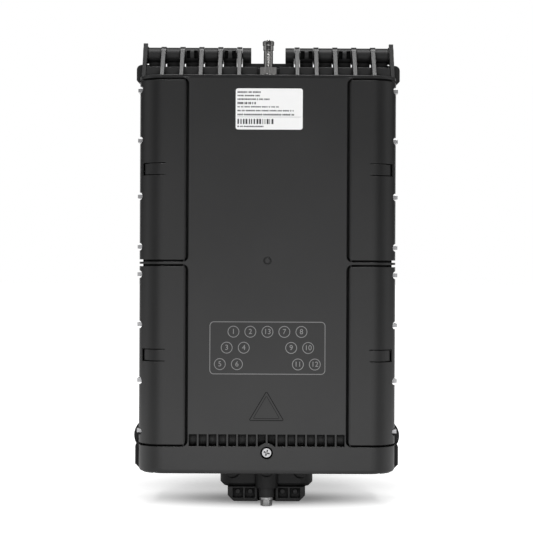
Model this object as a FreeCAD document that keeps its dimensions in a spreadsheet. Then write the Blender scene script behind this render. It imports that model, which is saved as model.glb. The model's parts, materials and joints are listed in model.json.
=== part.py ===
# Fibre distribution hub box: a sealed wall box with a top-hinged cover, four side latches,
# thirteen cable sockets underneath and a fibre tray inside.
# Frame: origin in the middle of the wall bolts, +X right, +Z up, the front faces -Y. Millimetres.
import FreeCAD
import Part
import Sketcher
import math
import os
from types import SimpleNamespace

DIMENSIONS = {
    # Depths, measured from the wall
    "foot_height": 6.0,
    "parting_depth": 90.0,
    "front_depth": 118.0,
    "step_depth": 104.0,
    "rim_gap": 0.4,
    # Heights above the middle of the wall bolts
    "top_height": 176.0,
    "ledge_height": 165.7,
    "step_top": 174.0,
    "lip_top": 179.0,
    "recess_top": 163.0,
    "bar_top": 6.25,
    "bar_bottom": 4.35,
    "recess_bottom": -151.0,
    "cover_bottom": -174.2,
    "skirt_bottom": -166.0,
    "floor_top": -138.0,
    "floor_bottom": -143.0,
    # Widths, all half widths
    "cover_half": 110.6,
    "plate_half": 67.2,
    "rim_half": 107.0,
    "lug_half": 114.4,
    "tub_half": 105.0,
    "room_half": 100.0,
    "flange_half": 107.6,
    # Walls and rounds
    "wall": 3.0,
    "corner_round": 22.0,
    "edge_round": 4.0,
    "ledge_round": 1.0,
    "latch_corner": 3.4,
    "recess_deep": 4.6,
    "groove": 1.9,
    "latch_wall": 2.7,
    # Hinge
    "hinge_depth": 88.0,
    "hinge_height": 186.1,
    "barrel_radius": 6.65,
    "eye_radius": 7.4,
    "eye_wide": 4.4,
    "rod_radius": 2.5,
    "rod_hole": 2.55,
    "rib_head_wide": 3.7,
    "rib_foot_wide": 3.2,
    "rib_first": 24.9,
    "rib_pitch": 16.45,
    "rib_outer": 106.3,
    "knuckle_gap": 0.35,
    "barrel_inner": 14.9,
    # Side latches
    "pivot_inset": 2.1,
    "pivot_radius": 1.9,
    "pin_radius": 0.9,
    "pin_hole": 0.95,
    "notch_radius": 3.4,
    "notch_out": 0.2,
    "hook_first": 7.0,
    "hook_second": 50.3,
    "hook_third": 98.5,
    "hook_fourth": 142.0,
    "snap_drop": 75.7,
    # Pocket row and lock screw
    "slot_wide": 6.8,
    "slot_pitch": 8.38,
    "slot_top": -140.3,
    "slot_bottom": -150.6,
    "slot_deep": 7.0,
    "lock_height": -156.0,
    "lock_boss": 8.3,
    "lock_recess": 5.3,
    "lock_shank": 2.0,
    # Air valve
    "valve_depth": 108.5,
    "valve_radius": 3.85,
    # Sockets, as the legend on the cover numbers them
    "socket_pitch": 30.0,
    "socket_stagger": 11.4,
    "row_rear": 22.0,
    "row_pitch": 24.5,
    "socket_bore": 6.5,
    "socket_radius": 8.8,
    "socket_flange": 9.5,
    "socket_stud": 6.0,
    "socket_hole": 6.3,
    "socket_long": 24.0,
    # Cable entry block
    "entry_depth": 65.0,
    "entry_half": 40.8,
    "entry_radius": 14.0,
    "entry_step": -190.8,
    "entry_bottom": -203.5,
    # Wall bolts
    "bolt_x": 50.0,
    "bolt_z": 100.0,
    "bolt_hole": 3.2,
}

TITLE_COLUMN = "A"
VALUE_COLUMN = "B"
SHEET = "dims"
NEAR = 0.05

doc = FreeCAD.newDocument("hub_box")
sheet = doc.addObject("Spreadsheet::Sheet", SHEET)
parts = {}


class Size:
    """A number together with the sheet expression that gives it."""

    def __init__(self, value, text):
        self.value = float(value)
        self.text = text

    def __add__(self, other):
        other = as_size(other)
        return Size(self.value + other.value, f"({self.text} + {other.text})")

    def __sub__(self, other):
        other = as_size(other)
        return Size(self.value - other.value, f"({self.text} - {other.text})")

    def __mul__(self, other):
        other = as_size(other)
        return Size(self.value * other.value, f"({self.text} * {other.text})")

    def __radd__(self, other):
        return as_size(other) + self

    def __rsub__(self, other):
        return as_size(other) - self

    def __rmul__(self, other):
        return as_size(other) * self

    def __neg__(self):
        return Size(-self.value, f"(0 - {self.text})")


def as_size(amount):
    """Any amount as a Size: plain numbers stand for themselves."""
    if isinstance(amount, Size):
        return amount
    return Size(amount, f"({float(amount)})")


def fill_sheet():
    """Write the driving dimensions and return them by name."""
    named = {}
    for row, (alias, value) in enumerate(DIMENSIONS.items(), start=1):
        sheet.set(f"{TITLE_COLUMN}{row}", alias.replace("_", " "))
        sheet.set(f"{VALUE_COLUMN}{row}", str(value))
        sheet.setAlias(f"{VALUE_COLUMN}{row}", alias)
        named[alias] = Size(value, f"{SHEET}.{alias}")
    doc.recompute()
    return SimpleNamespace(**named)


d = fill_sheet()
FRONT = -d.front_depth
RIM = -d.parting_depth
COVER_RIM = RIM - d.rim_gap
BACK = -d.foot_height
STEP = -d.step_depth
ROOM_BACK = BACK - d.wall
HINGE_Y = -d.hinge_depth
HINGE_Z = d.hinge_height


def bind(item, prop, amount):
    """Drive one property from the sheet."""
    item.setExpression(prop, as_size(amount).text)


def place(item, x=0, y=0, z=0):
    """Drive the place of an object from the sheet."""
    for axis, amount in zip("xyz", (x, y, z)):
        bind(item, f"Placement.Base.{axis}", amount)


def keep(item, label):
    """Name a finished sub-part, which also names its file."""
    item.Label = label
    parts[label] = item
    return item


# Sketches and features of a body


def new_body(name):
    return doc.addObject("PartDesign::Body", name)


def origin_item(body, role):
    return next(f for f in body.Origin.OriginFeatures if f.Role == role)


def sketch(body, name, plane, offset=0):
    """A sketch on one of the body's own planes: XY looks up, XZ looks to -Y, YZ looks to +X."""
    made = body.newObject("Sketcher::SketchObject", name)
    made.AttachmentSupport = (origin_item(body, f"{plane}_Plane"), [""])
    made.MapMode = "FlatFace"
    bind(made, "AttachmentOffset.Base.z", offset)
    return made


def hold_points(made, wanted):
    """Hold points of a sketch at sheet-driven coordinates; None leaves a coordinate free."""
    rules = []
    driven = []
    for geometry, end, x, y in wanted:
        for kind, axis, amount in (("DistanceX", -2, x), ("DistanceY", -1, y)):
            if amount is None:
                continue
            amount = as_size(amount)
            if abs(amount.value) < 1e-9:
                rules.append(Sketcher.Constraint("PointOnObject", geometry, end, axis))
            else:
                driven.append((len(rules), amount))
                rules.append(Sketcher.Constraint(kind, -1, 1, geometry, end, amount.value))
    first = made.ConstraintCount
    made.addConstraint(rules)
    for index, amount in driven:
        made.setExpression(f"Constraints[{first + index}]", amount.text)


def as_vector(point):
    return FreeCAD.Vector(as_size(point[0]).value, as_size(point[1]).value, 0)


def draw_polygon(made, points, arcs=None):
    """A closed outline through the points; arcs gives the centre of a side that is an arc."""
    arcs = arcs or {}
    count = len(points)
    first = made.GeometryCount
    sides = []
    for i in range(count):
        near = as_vector(points[i])
        far = as_vector(points[(i + 1) % count])
        if i in arcs:
            centre = as_vector(arcs[i])
            outward = (near + far) * 0.5 - centre
            through = centre + outward.normalize() * (near - centre).Length
            sides.append(Part.Arc(near, through, far))
        else:
            sides.append(Part.LineSegment(near, far))
    made.addGeometry(sides, False)
    joins = []
    wanted = []
    for i in range(count):
        joins.append(Sketcher.Constraint("Coincident", first + i, end_of(made, first + i, points[(i + 1) % count]),
                                         first + (i + 1) % count,
                                         end_of(made, first + (i + 1) % count, points[(i + 1) % count])))
        wanted.append((first + i, end_of(made, first + i, points[i]), points[i][0], points[i][1]))
    made.addConstraint(joins)
    for i, centre in arcs.items():
        wanted.append((first + i, 3, centre[0], None))
    hold_points(made, wanted)


def end_of(made, geometry, point):
    """Which end of a line or an arc lies at the point: 1 for its start, 2 for its end."""
    return 1 if made.getPoint(geometry, 1).distanceToPoint(as_vector(point)) < NEAR else 2


def draw_box(made, x0, x1, y0, y1):
    draw_polygon(made, [(x0, y0), (x1, y0), (x1, y1), (x0, y1)])


def draw_circle(made, x, y, radius):
    radius = as_size(radius)
    centre = FreeCAD.Vector(as_size(x).value, as_size(y).value, 0)
    index = made.addGeometry(Part.Circle(centre, FreeCAD.Vector(0, 0, 1), radius.value), False)
    rule = made.addConstraint(Sketcher.Constraint("Radius", index, radius.value))
    made.setExpression(f"Constraints[{rule}]", radius.text)
    hold_points(made, [(index, 3, x, y)])


def pad(body, made, name, length):
    """Grow the sketch along its own normal."""
    feature = body.newObject("PartDesign::Pad", name)
    feature.Profile = made
    bind(feature, "Length", length)
    doc.recompute()
    return feature


def pocket(body, made, name, depth):
    """Cut along the sketch's normal, and make sure that something is cut."""
    before = body.Shape.Volume
    feature = body.newObject("PartDesign::Pocket", name)
    feature.Profile = made
    feature.Reversed = True
    bind(feature, "Length", depth)
    doc.recompute()
    if body.Shape.Volume > before - NEAR:
        raise RuntimeError(f"{name} cuts nothing")
    return feature


def fillet(body, name, radius, wanted):
    """Round the edges for which wanted(start, end, middle) holds."""
    base = body.Tip
    names = []
    for index, edge in enumerate(base.Shape.Edges, start=1):
        ends = [v.Point for v in edge.Vertexes]
        middle = edge.valueAt((edge.FirstParameter + edge.LastParameter) / 2)
        if len(ends) == 2 and wanted(ends[0], ends[1], middle):
            names.append(f"Edge{index}")
    if not names:
        raise RuntimeError(f"{name} finds no edge")
    feature = body.newObject("PartDesign::Fillet", name)
    feature.Base = (base, names)
    bind(feature, "Radius", radius)
    doc.recompute()
    return feature


def revolve(body, made, name):
    feature = body.newObject("PartDesign::Revolution", name)
    feature.Profile = made
    feature.ReferenceAxis = (made, ["V_Axis"])
    feature.Angle = 360.0
    doc.recompute()
    return feature


def row_of(body, originals, name, count, length):
    """Repeat features along X."""
    feature = body.newObject("PartDesign::LinearPattern", name)
    feature.Originals = originals
    feature.Direction = (origin_item(body, "X_Axis"), [""])
    bind(feature, "Length", length)
    feature.Occurrences = count
    body.Tip = feature
    doc.recompute()
    return feature


def mirror(body, originals, name):
    """Repeat features on the other side of the middle plane."""
    feature = body.newObject("PartDesign::Mirrored", name)
    feature.Originals = originals
    feature.MirrorPlane = (origin_item(body, "YZ_Plane"), [""])
    body.Tip = feature
    doc.recompute()
    return feature


def at(value, amount):
    return abs(value - as_size(amount).value) < NEAR


def upright_at(x, y):
    """Test for an edge along Z at the given place, on either side of the middle."""
    def wanted(start, end, middle):
        along = at(start.x, end.x) and at(start.y, end.y)
        return along and at(abs(start.x), x) and at(start.y, y)
    return wanted


# Primitives and booleans


def block(name, x0, x1, y0, y1, z0, z1):
    made = doc.addObject("Part::Box", name)
    bind(made, "Length", x1 - as_size(x0))
    bind(made, "Width", y1 - as_size(y0))
    bind(made, "Height", z1 - as_size(z0))
    place(made, x0, y0, z0)
    return made


TURNS = {
    "x": FreeCAD.Rotation(FreeCAD.Vector(0, 1, 0), 90),
    "y": FreeCAD.Rotation(FreeCAD.Vector(1, 0, 0), -90),
    "z": FreeCAD.Rotation(),
}


def rod(name, axis, start, radius, length):
    """A cylinder from start along +X, +Y or +Z."""
    made = doc.addObject("Part::Cylinder", name)
    bind(made, "Radius", radius)
    bind(made, "Height", length)
    made.Placement.Rotation = TURNS[axis]
    place(made, *start)
    return made


def hexagon(name, axis, start, corner_radius, length):
    made = doc.addObject("Part::Prism", name)
    made.Polygon = 6
    bind(made, "Circumradius", corner_radius)
    bind(made, "Height", length)
    made.Placement.Rotation = TURNS[axis]
    place(made, *start)
    return made


def fuse(name, items):
    made = doc.addObject("Part::MultiFuse", name)
    made.Shapes = items
    made.Refine = True
    return made


def cut(name, base, tool):
    made = doc.addObject("Part::Cut", name)
    made.Base = base
    made.Tool = tool
    made.Refine = True
    return made


def group(name, items):
    made = doc.addObject("Part::Compound", name)
    made.Links = items
    return made


def ring(name, axis, start, outer, inner, length):
    """A washer-like ring along an axis."""
    return cut(
        name,
        rod(f"{name}_outer", axis, start, outer, length),
        rod(f"{name}_inner", axis, start, inner, length),
    )


def oval(name, half, radius, y, z0, z1):
    """An upright block with half-round ends, long in X."""
    straight = half - as_size(radius)
    return fuse(name, [
        block(f"{name}_middle", -straight, straight, y - as_size(radius), y + as_size(radius), z0, z1),
        rod(f"{name}_left", "z", (-straight, y, z0), radius, z1 - as_size(z0)),
        rod(f"{name}_right", "z", (straight, y, z0), radius, z1 - as_size(z0)),
    ])


# Front cover

RIB_COUNT = 5
BLOCK_FRONT = -106.5
STEP_HALF = 105.0
ROOM_TOP = 158.0
ROOM_FLOOR = -136.0
ROOM_ROUND = 13.0
RIB_FOOT = FRONT + 1.5
RIB_HEAD_Y = HINGE_Y - 5.2
RIB_HEAD_Z = HINGE_Z + 5.2
OUTER_FOOT = FRONT + 12.5
OUTER_SPREAD = 0.8
BAND_TALL = 2.9
BAND_LEAN = 0.5
OUTER_HEAD_Y = HINGE_Y - 5.4
OUTER_HEAD_Z = HINGE_Z + 9.6
PLATE_INNER = FRONT + d.wall
DEEP_HALF = d.plate_half - d.wall
RECESS_FLOOR = FRONT + d.recess_deep
RECESS_SIDE = d.cover_half - d.recess_deep
SIDE_ROOM = RECESS_FLOOR + d.wall
CORNER_X = d.cover_half - d.corner_round
CORNER_Y = FRONT + d.corner_round
LATCH_SHELF = COVER_RIM - 4.8
SKIRT_ROOF = -153.0
BEYOND = 10.0
CORNER_LAP = 0.5
SLOTS_PER_SIDE = 8
PIVOT_X = d.plate_half + d.groove + d.pivot_inset - 0.2
PIVOT_Y = FRONT + d.pivot_inset
PIN_LONG = 6.0
PIN_SEAT = 1.4


def loft(body, sections, name):
    """A straight-sided form between two sketches."""
    feature = body.newObject("PartDesign::AdditiveLoft", name)
    feature.Profile = sections[0]
    feature.Sections = sections[1:]
    feature.Ruled = True
    doc.recompute()
    return feature


def hinge_rib(body, name, x, foot_y, head_y, head_z, spread=0):
    """One hinge rib centred at x: a tapered arm that leans back from the ledge, and its eye."""
    foot = sketch(body, f"{name}_foot", "XY", d.ledge_height - 1)
    foot_x = x + spread
    draw_box(foot, foot_x - d.rib_foot_wide * 0.5, foot_x + d.rib_foot_wide * 0.5, foot_y, COVER_RIM)
    head = sketch(body, f"{name}_head", "XY", head_z)
    draw_box(head, x - d.rib_head_wide * 0.5, x + d.rib_head_wide * 0.5, head_y, COVER_RIM)
    arm = loft(body, [foot, head], f"{name}_arm")
    ring_plan = sketch(body, f"{name}_eye_sketch", "YZ", x - d.eye_wide * 0.5)
    draw_circle(ring_plan, HINGE_Y, HINGE_Z, d.eye_radius)
    return [arm, pad(body, ring_plan, f"{name}_eye", d.eye_wide)]


def cover_shell(body):
    """Outer form of the cover: rounded plan, rounded lower edge, a shallow band along the ledge
    and the step under the hinge."""
    plan = sketch(body, "cover_plan", "XY", d.cover_bottom)
    draw_box(plan, -d.cover_half, d.cover_half, FRONT, COVER_RIM)
    pad(body, plan, "cover_block", d.ledge_height - d.cover_bottom)
    fillet(body, "cover_corners", d.corner_round, upright_at(d.cover_half, FRONT))

    def lower_edge(start, end, middle):
        low = at(start.z, d.cover_bottom) and at(end.z, d.cover_bottom)
        return low and middle.y < COVER_RIM.value - NEAR

    fillet(body, "cover_lower_edge", d.edge_round, lower_edge)

    def ledge_edge(start, end, middle):
        high = at(start.z, d.ledge_height) and at(end.z, d.ledge_height)
        return high and middle.y < COVER_RIM.value - NEAR

    fillet(body, "cover_ledge_edge", d.ledge_round, ledge_edge)
    band = sketch(body, "ledge_band_sketch", "YZ", -d.cover_half)
    draw_polygon(band, [
        (FRONT - 1, d.ledge_height - BAND_TALL), (FRONT, d.ledge_height - BAND_TALL),
        (FRONT + BAND_LEAN, d.ledge_height + 1), (FRONT - 1, d.ledge_height + 1),
    ])
    pocket(body, band, "ledge_band", d.cover_half * 2)
    step_plan = sketch(body, "cover_step_plan", "XY", d.ledge_height - 1)
    draw_box(step_plan, -STEP_HALF, STEP_HALF, STEP, COVER_RIM)
    pad(body, step_plan, "cover_step", d.step_top - d.ledge_height + 1)


def cover_hollows(body):
    """Sealed room behind the plate and the sides, and the open skirt in front of the sockets."""
    side = sketch(body, "cover_side_room_sketch", "XZ", -COVER_RIM)
    draw_box(side, -d.room_half, d.room_half, ROOM_FLOOR, ROOM_TOP)
    pocket(body, side, "cover_side_room", COVER_RIM - SIDE_ROOM)
    fillet(body, "cover_room_corners", ROOM_ROUND, upright_at(d.room_half, SIDE_ROOM))
    deep = sketch(body, "cover_deep_room_sketch", "XZ", -COVER_RIM)
    draw_box(deep, -DEEP_HALF, DEEP_HALF, ROOM_FLOOR, ROOM_TOP)
    pocket(body, deep, "cover_deep_room", COVER_RIM - PLATE_INNER)
    skirt_half = d.cover_half - d.wall
    skirt = sketch(body, "cover_skirt_sketch", "XY", d.cover_bottom - BEYOND)
    draw_box(skirt, -skirt_half + d.corner_round * 0.5, skirt_half - d.corner_round * 0.5,
             PLATE_INNER, COVER_RIM + 1)
    pocket(body, skirt, "cover_skirt", SKIRT_ROOF - d.cover_bottom + BEYOND)
    wide = sketch(body, "cover_skirt_wide_sketch", "XY", d.cover_bottom - BEYOND)
    draw_box(wide, -skirt_half, skirt_half, BLOCK_FRONT, COVER_RIM + 1)
    pocket(body, wide, "cover_skirt_wide", d.floor_bottom - d.cover_bottom + BEYOND)


def draw_corner(made, side, edge, end, hand, radius):
    """What lies outside a round corner at x = edge and z = end; hand is 1 at an upper end."""
    turn = edge + radius
    level = end - hand * radius
    draw_polygon(made, [
        (side * (edge - CORNER_LAP), end + hand * CORNER_LAP), (side * (edge - CORNER_LAP), level),
        (side * edge, level), (side * turn, end), (side * turn, end + hand * CORNER_LAP),
    ], {2: (side * turn, level)})


def latch_recesses(body):
    """The four seats of the side latches, cut round the corners of the cover."""
    made = []
    for name, low, high in (
        ("upper", d.bar_top, d.recess_top),
        ("lower", d.recess_bottom, d.bar_bottom),
    ):
        plan = sketch(body, f"{name}_recess_sketch", "XY", low)
        outside = d.cover_half + BEYOND
        draw_polygon(plan, [
            (d.plate_half, FRONT - BEYOND),
            (outside, FRONT - BEYOND),
            (outside, COVER_RIM + 1),
            (d.flange_half, COVER_RIM + 1),
            (d.flange_half, LATCH_SHELF),
            (RECESS_SIDE, LATCH_SHELF),
            (RECESS_SIDE, CORNER_Y),
            (CORNER_X, RECESS_FLOOR),
            (d.plate_half, RECESS_FLOOR),
        ], {6: (CORNER_X, CORNER_Y)})
        made.append(pocket(body, plan, f"{name}_recess", high - low))
    mirror(body, made, "recesses_mirrored")
    corners = sketch(body, "recess_corner_sketch", "XZ", -RECESS_FLOOR - 1)
    ends = ((d.recess_bottom, -1), (d.bar_bottom, 1), (d.bar_top, -1), (d.recess_top, 1))
    for side in (-1, 1):
        for end, hand in ends:
            draw_corner(corners, side, d.plate_half, end, hand, d.latch_corner + d.groove)
    pad(body, corners, "recess_corners", d.recess_deep + 1)


def pocket_row(body):
    """Sixteen blind pockets above the lock screw, with the screw boss standing into the middle two."""
    windows = sketch(body, "slots_sketch", "XZ", -FRONT - d.slot_deep)
    for index in range(-SLOTS_PER_SIDE, SLOTS_PER_SIDE):
        centre = (index + 0.5) * d.slot_pitch
        draw_box(windows, centre - d.slot_wide * 0.5, centre + d.slot_wide * 0.5, d.slot_bottom, d.slot_top)
    pocket(body, windows, "slots", d.slot_deep + 1)
    boss = sketch(body, "lock_boss_sketch", "XZ", -COVER_RIM)
    draw_circle(boss, 0, d.lock_height, d.lock_boss)
    pad(body, boss, "lock_boss", COVER_RIM - FRONT)
    recess = sketch(body, "lock_recess_sketch", "XZ", -FRONT - 5)
    draw_circle(recess, 0, d.lock_height, d.lock_recess)
    pocket(body, recess, "lock_recess", 6)
    hole = sketch(body, "lock_hole_sketch", "XZ", -COVER_RIM - 1)
    draw_circle(hole, 0, d.lock_height, d.lock_shank + 0.3)
    pocket(body, hole, "lock_hole", COVER_RIM - FRONT)


def hinge_banks(body):
    """Two banks of ribs over the housing's knuckles, and the bore for the rods."""
    run = d.rib_pitch * (RIB_COUNT - 1)
    lean = (RIB_FOOT, RIB_HEAD_Y, RIB_HEAD_Z)
    right = hinge_rib(body, "rib_right", d.rib_first, *lean)
    row_of(body, right, "ribs_right", RIB_COUNT, run)
    left = hinge_rib(body, "rib_left", -d.rib_first - run, *lean)
    row_of(body, left, "ribs_left", RIB_COUNT, run)
    outer = hinge_rib(body, "rib_outer", d.rib_outer, OUTER_FOOT, OUTER_HEAD_Y, OUTER_HEAD_Z, OUTER_SPREAD)
    mirror(body, outer, "ribs_outer")
    bore = sketch(body, "rod_bore_sketch", "YZ", -d.cover_half)
    draw_circle(bore, HINGE_Y, HINGE_Z, d.rod_hole)
    pocket(body, bore, "rod_bore", d.cover_half * 2)


def cover_details(body):
    """Seat of the air valve, the ring mark of the moulding gate and the latch pin holes."""
    notch = sketch(body, "valve_notch_sketch", "XY", d.ledge_height)
    draw_box(notch, -9.5, 9.5, STEP - 1, STEP + 6)
    pocket(body, notch, "valve_notch", d.step_top - d.ledge_height + 1)
    hole = sketch(body, "valve_hole_sketch", "XY", ROOM_TOP - 1)
    draw_circle(hole, 0, -d.valve_depth, d.valve_radius + 0.1)
    pocket(body, hole, "valve_hole", d.ledge_height - ROOM_TOP + 2)
    mark = sketch(body, "gate_mark_sketch", "XZ", -FRONT - 0.8)
    draw_circle(mark, 0, 7.6, 3.4)
    draw_circle(mark, 0, 7.6, 2.1)
    pocket(body, mark, "gate_mark", 1.8)
    pins = sketch(body, "latch_pin_sketch", "XY", d.recess_bottom - PIN_SEAT)
    draw_circle(pins, PIVOT_X, PIVOT_Y, d.pin_radius)
    right = pocket(body, pins, "latch_pin_hole", d.recess_top - d.recess_bottom + PIN_SEAT * 2)
    mirror(body, [right], "latch_pin_holes")


def make_front_cover():
    body = new_body("cover_body")
    cover_shell(body)
    cover_hollows(body)
    latch_recesses(body)
    pocket_row(body)
    hinge_banks(body)
    cover_details(body)
    return keep(body, "front_cover")


# Rear housing

TUB_ROUND = 12.0
WEB_THICK = 6.0
CORED_KNUCKLES = (0, 2)
RAIL_HALF_TALL = 14.0
RAIL_HALF_WIDE = 66.0
RAIL_CORES = 3
RAIL_CORE_PITCH = 24.0
BOSS_RADIUS = 8.0
BOSS_DEEP = 16.0
BOLT_DEEP = 13.0
LUG_BACK = RIM + 10
LUG_BEVEL = 3.0
LUG_ROUND = 4.4
EAR_HEIGHT = -145.0
EAR_RADIUS = 15.0
SEAL_INNER = d.room_half + 1.6
SEAL_WIDE = 2.8
SEAL_DEEP = 3.0
SEAL_TOP = 174.4
SEAL_BOTTOM = -142.0
HOUSE_TOP_ROOM = 170.0
ENTRY_WALL = 3.5
TRAY_TOP = 140.0
TRAY_BOTTOM = 20.0
TRAY_HALF = 80.0
TRAY_BACK = -44.0
TRAY_DEEP = 9.0
POST_INSET = 9.0
POST_RADIUS = 4.5


def sockets():
    """Number, x and y of every socket, in the three staggered rows of the legend."""
    rear = -d.row_rear
    middle = rear - d.row_pitch
    front = middle - d.row_pitch
    inner = d.socket_pitch
    outer = d.socket_pitch * 2
    shift = d.socket_stagger
    return [
        (1, -outer, rear), (2, -inner, rear), (13, as_size(0), rear), (7, inner, rear), (8, outer, rear),
        (3, -outer - shift, middle), (4, -inner - shift, middle),
        (9, inner + shift, middle), (10, outer + shift, middle),
        (5, -outer - shift * 2, front), (6, -inner - shift * 2, front),
        (11, inner + shift * 2, front), (12, outer + shift * 2, front),
    ]


def housing_shell(body):
    """Tub with rounded back edges, a rim flange and lugs at the four corners."""
    plan = sketch(body, "tub_plan", "XY", d.skirt_bottom)
    draw_box(plan, -d.tub_half, d.tub_half, RIM, BACK)
    pad(body, plan, "tub_block", d.top_height - d.skirt_bottom)
    fillet(body, "tub_back_edges", TUB_ROUND, upright_at(d.tub_half, BACK))

    def upper_edge(start, end, middle):
        high = at(start.z, d.top_height) and at(end.z, d.top_height)
        return high and middle.y > RIM.value + NEAR and abs(middle.x) < d.tub_half.value - NEAR

    fillet(body, "tub_upper_edge", d.edge_round, upper_edge)
    rim = sketch(body, "rim_sketch", "XZ", -RIM - 5)
    draw_box(rim, -d.rim_half, d.rim_half, d.floor_bottom, d.top_height)
    pad(body, rim, "rim_flange", 5)
    lugs = []
    for name, low, high in (
        ("upper", d.recess_top - 2, d.top_height + 1.5),
        ("lower", d.skirt_bottom - 6.2, d.recess_bottom + 1),
    ):
        lug = sketch(body, f"{name}_lug_sketch", "XZ", -LUG_BACK)
        turn = d.lug_half - LUG_ROUND
        draw_polygon(lug, [
            (d.tub_half - 2, low), (d.lug_half - LUG_BEVEL, low), (d.lug_half, low + LUG_BEVEL),
            (d.lug_half, high - LUG_ROUND), (turn, high), (d.tub_half - 2, high),
        ], {3: (turn, high - LUG_ROUND)})
        lugs.append(pad(body, lug, f"{name}_lug", LUG_BACK - RIM))
    ear = sketch(body, "ear_sketch", "XZ", -RIM - 20)
    draw_circle(ear, d.tub_half - 4, EAR_HEIGHT, EAR_RADIUS)
    lugs.append(pad(body, ear, "lower_ear", 13))
    mirror(body, lugs, "lugs_mirrored")


def housing_back(body):
    """Two cored back rails with the blind wall bolt holes, and bosses inside behind them."""
    rails = sketch(body, "rails_sketch", "XZ", 0)
    cores = []
    for z in (d.bolt_z, -d.bolt_z):
        draw_box(rails, -RAIL_HALF_WIDE, RAIL_HALF_WIDE, z - RAIL_HALF_TALL, z + RAIL_HALF_TALL)
        for index in range(RAIL_CORES):
            left = (index - RAIL_CORES / 2) * RAIL_CORE_PITCH + 2
            cores.append((left, left + RAIL_CORE_PITCH - 4, z - RAIL_HALF_TALL + 3, z + RAIL_HALF_TALL - 3))
    pad(body, rails, "rails", d.foot_height + 1)
    coring = sketch(body, "rail_cores_sketch", "XZ", -1)
    for edges in cores:
        draw_box(coring, *edges)
    pocket(body, coring, "rail_cores", d.foot_height + 1)
    bosses = sketch(body, "bolt_bosses_sketch", "XZ", -ROOM_BACK - 1)
    holes = sketch(body, "bolt_holes_sketch", "XZ", -1)
    for x in (-d.bolt_x, d.bolt_x):
        for z in (-d.bolt_z, d.bolt_z):
            draw_circle(bosses, x, z, BOSS_RADIUS)
            draw_circle(holes, x, z, d.bolt_hole)
    pad(body, bosses, "bolt_bosses", BOSS_DEEP + ROOM_BACK + 1)
    pocket(body, holes, "bolt_holes", BOLT_DEEP + 1)


def housing_hollows(body):
    """Sealed room, the socket bay under its floor, and the groove of the seal."""
    room = sketch(body, "room_sketch", "XZ", -ROOM_BACK)
    draw_box(room, -d.room_half, d.room_half, d.floor_top, HOUSE_TOP_ROOM)
    pocket(body, room, "room", ROOM_BACK - RIM + 1)
    bay = sketch(body, "bay_sketch", "XZ", -ROOM_BACK)
    draw_box(bay, -d.room_half, d.room_half, d.skirt_bottom - 1, d.floor_bottom)
    pocket(body, bay, "bay", ROOM_BACK - RIM + 1)
    fillet(body, "room_corners", TUB_ROUND - 4, upright_at(d.room_half, ROOM_BACK))
    groove = sketch(body, "seal_groove_sketch", "XZ", -RIM - SEAL_DEEP)
    draw_box(groove, -SEAL_INNER - SEAL_WIDE, SEAL_INNER + SEAL_WIDE, SEAL_BOTTOM, SEAL_TOP)
    draw_box(groove, -SEAL_INNER, SEAL_INNER, SEAL_BOTTOM + SEAL_WIDE, SEAL_TOP - SEAL_WIDE)
    pocket(body, groove, "seal_groove", SEAL_DEEP + 1)


def housing_floor(body):
    """Holes for the sockets and the cable entry, and the boss for the lock screw's insert."""
    holes = sketch(body, "socket_holes_sketch", "XY", d.floor_bottom - 1)
    for number, x, y in sockets():
        draw_circle(holes, x, y, d.socket_hole)
    pocket(body, holes, "socket_holes", d.floor_top - d.floor_bottom + 2)
    entry = sketch(body, "entry_hole_sketch", "XY", d.floor_bottom - 1)
    draw_box(entry, -26, 26, -d.entry_depth - 9, -d.entry_depth + 9)
    pocket(body, entry, "entry_hole", d.floor_top - d.floor_bottom + 2)
    boss = sketch(body, "insert_boss_sketch", "XZ", -RIM - 9.5)
    draw_box(boss, -7, 7, -164, d.floor_bottom + 1)
    pad(body, boss, "insert_boss", 9.5)
    hole = sketch(body, "insert_hole_sketch", "XZ", -RIM - 8)
    draw_circle(hole, 0, d.lock_height, 3.2)
    pocket(body, hole, "insert_hole", 9)


def housing_hinge(body):
    """Barrels of both banks on their webs, slotted for the ribs, cored, and bored for the rods."""
    clear = d.eye_wide * 0.5 + d.knuckle_gap
    ribs = [d.rib_first + d.rib_pitch * i for i in range(RIB_COUNT)] + [d.rib_outer]
    barrel_end = d.rib_outer - clear
    for name, left in (("left", -barrel_end), ("right", d.barrel_inner)):
        barrel = sketch(body, f"barrel_{name}_sketch", "YZ", left)
        draw_circle(barrel, HINGE_Y, HINGE_Z, d.barrel_radius)
        pad(body, barrel, f"barrel_{name}", barrel_end - d.barrel_inner)
        web = sketch(body, f"web_{name}_sketch", "YZ", left)
        draw_box(web, RIM, RIM + WEB_THICK, d.top_height - 1, HINGE_Z - 1)
        pad(body, web, f"web_{name}", barrel_end - d.barrel_inner)
    lip = sketch(body, "lip_sketch", "YZ", -d.barrel_inner - 1)
    draw_box(lip, RIM, RIM + WEB_THICK, d.top_height - 1, d.lip_top)
    pad(body, lip, "lip", (d.barrel_inner + 1) * 2)
    slots = sketch(body, "rib_slots_sketch", "XY", d.top_height)
    for x in ribs[:-1]:
        for middle in (x, -x):
            draw_box(slots, middle - clear, middle + clear, HINGE_Y - 12, HINGE_Y + 12)
    pocket(body, slots, "rib_slots", 30)
    cores = sketch(body, "knuckle_cores_sketch", "XZ", -HINGE_Y + 2.9)
    for index in CORED_KNUCKLES:
        for side in (-1, 1):
            middle = (ribs[index] + ribs[index + 1]) * 0.5 * side
            for hand in (-1, 1):
                near = middle + hand * 1.7
                far = middle + hand * 5.0
                draw_box(cores, near, far, HINGE_Z - 3.4, HINGE_Z + 3.4)
    pocket(body, cores, "knuckle_cores", 6)
    bore = sketch(body, "knuckle_bore_sketch", "YZ", -d.cover_half)
    draw_circle(bore, HINGE_Y, HINGE_Z, d.rod_hole)
    pocket(body, bore, "knuckle_bore", d.cover_half * 2)


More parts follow.
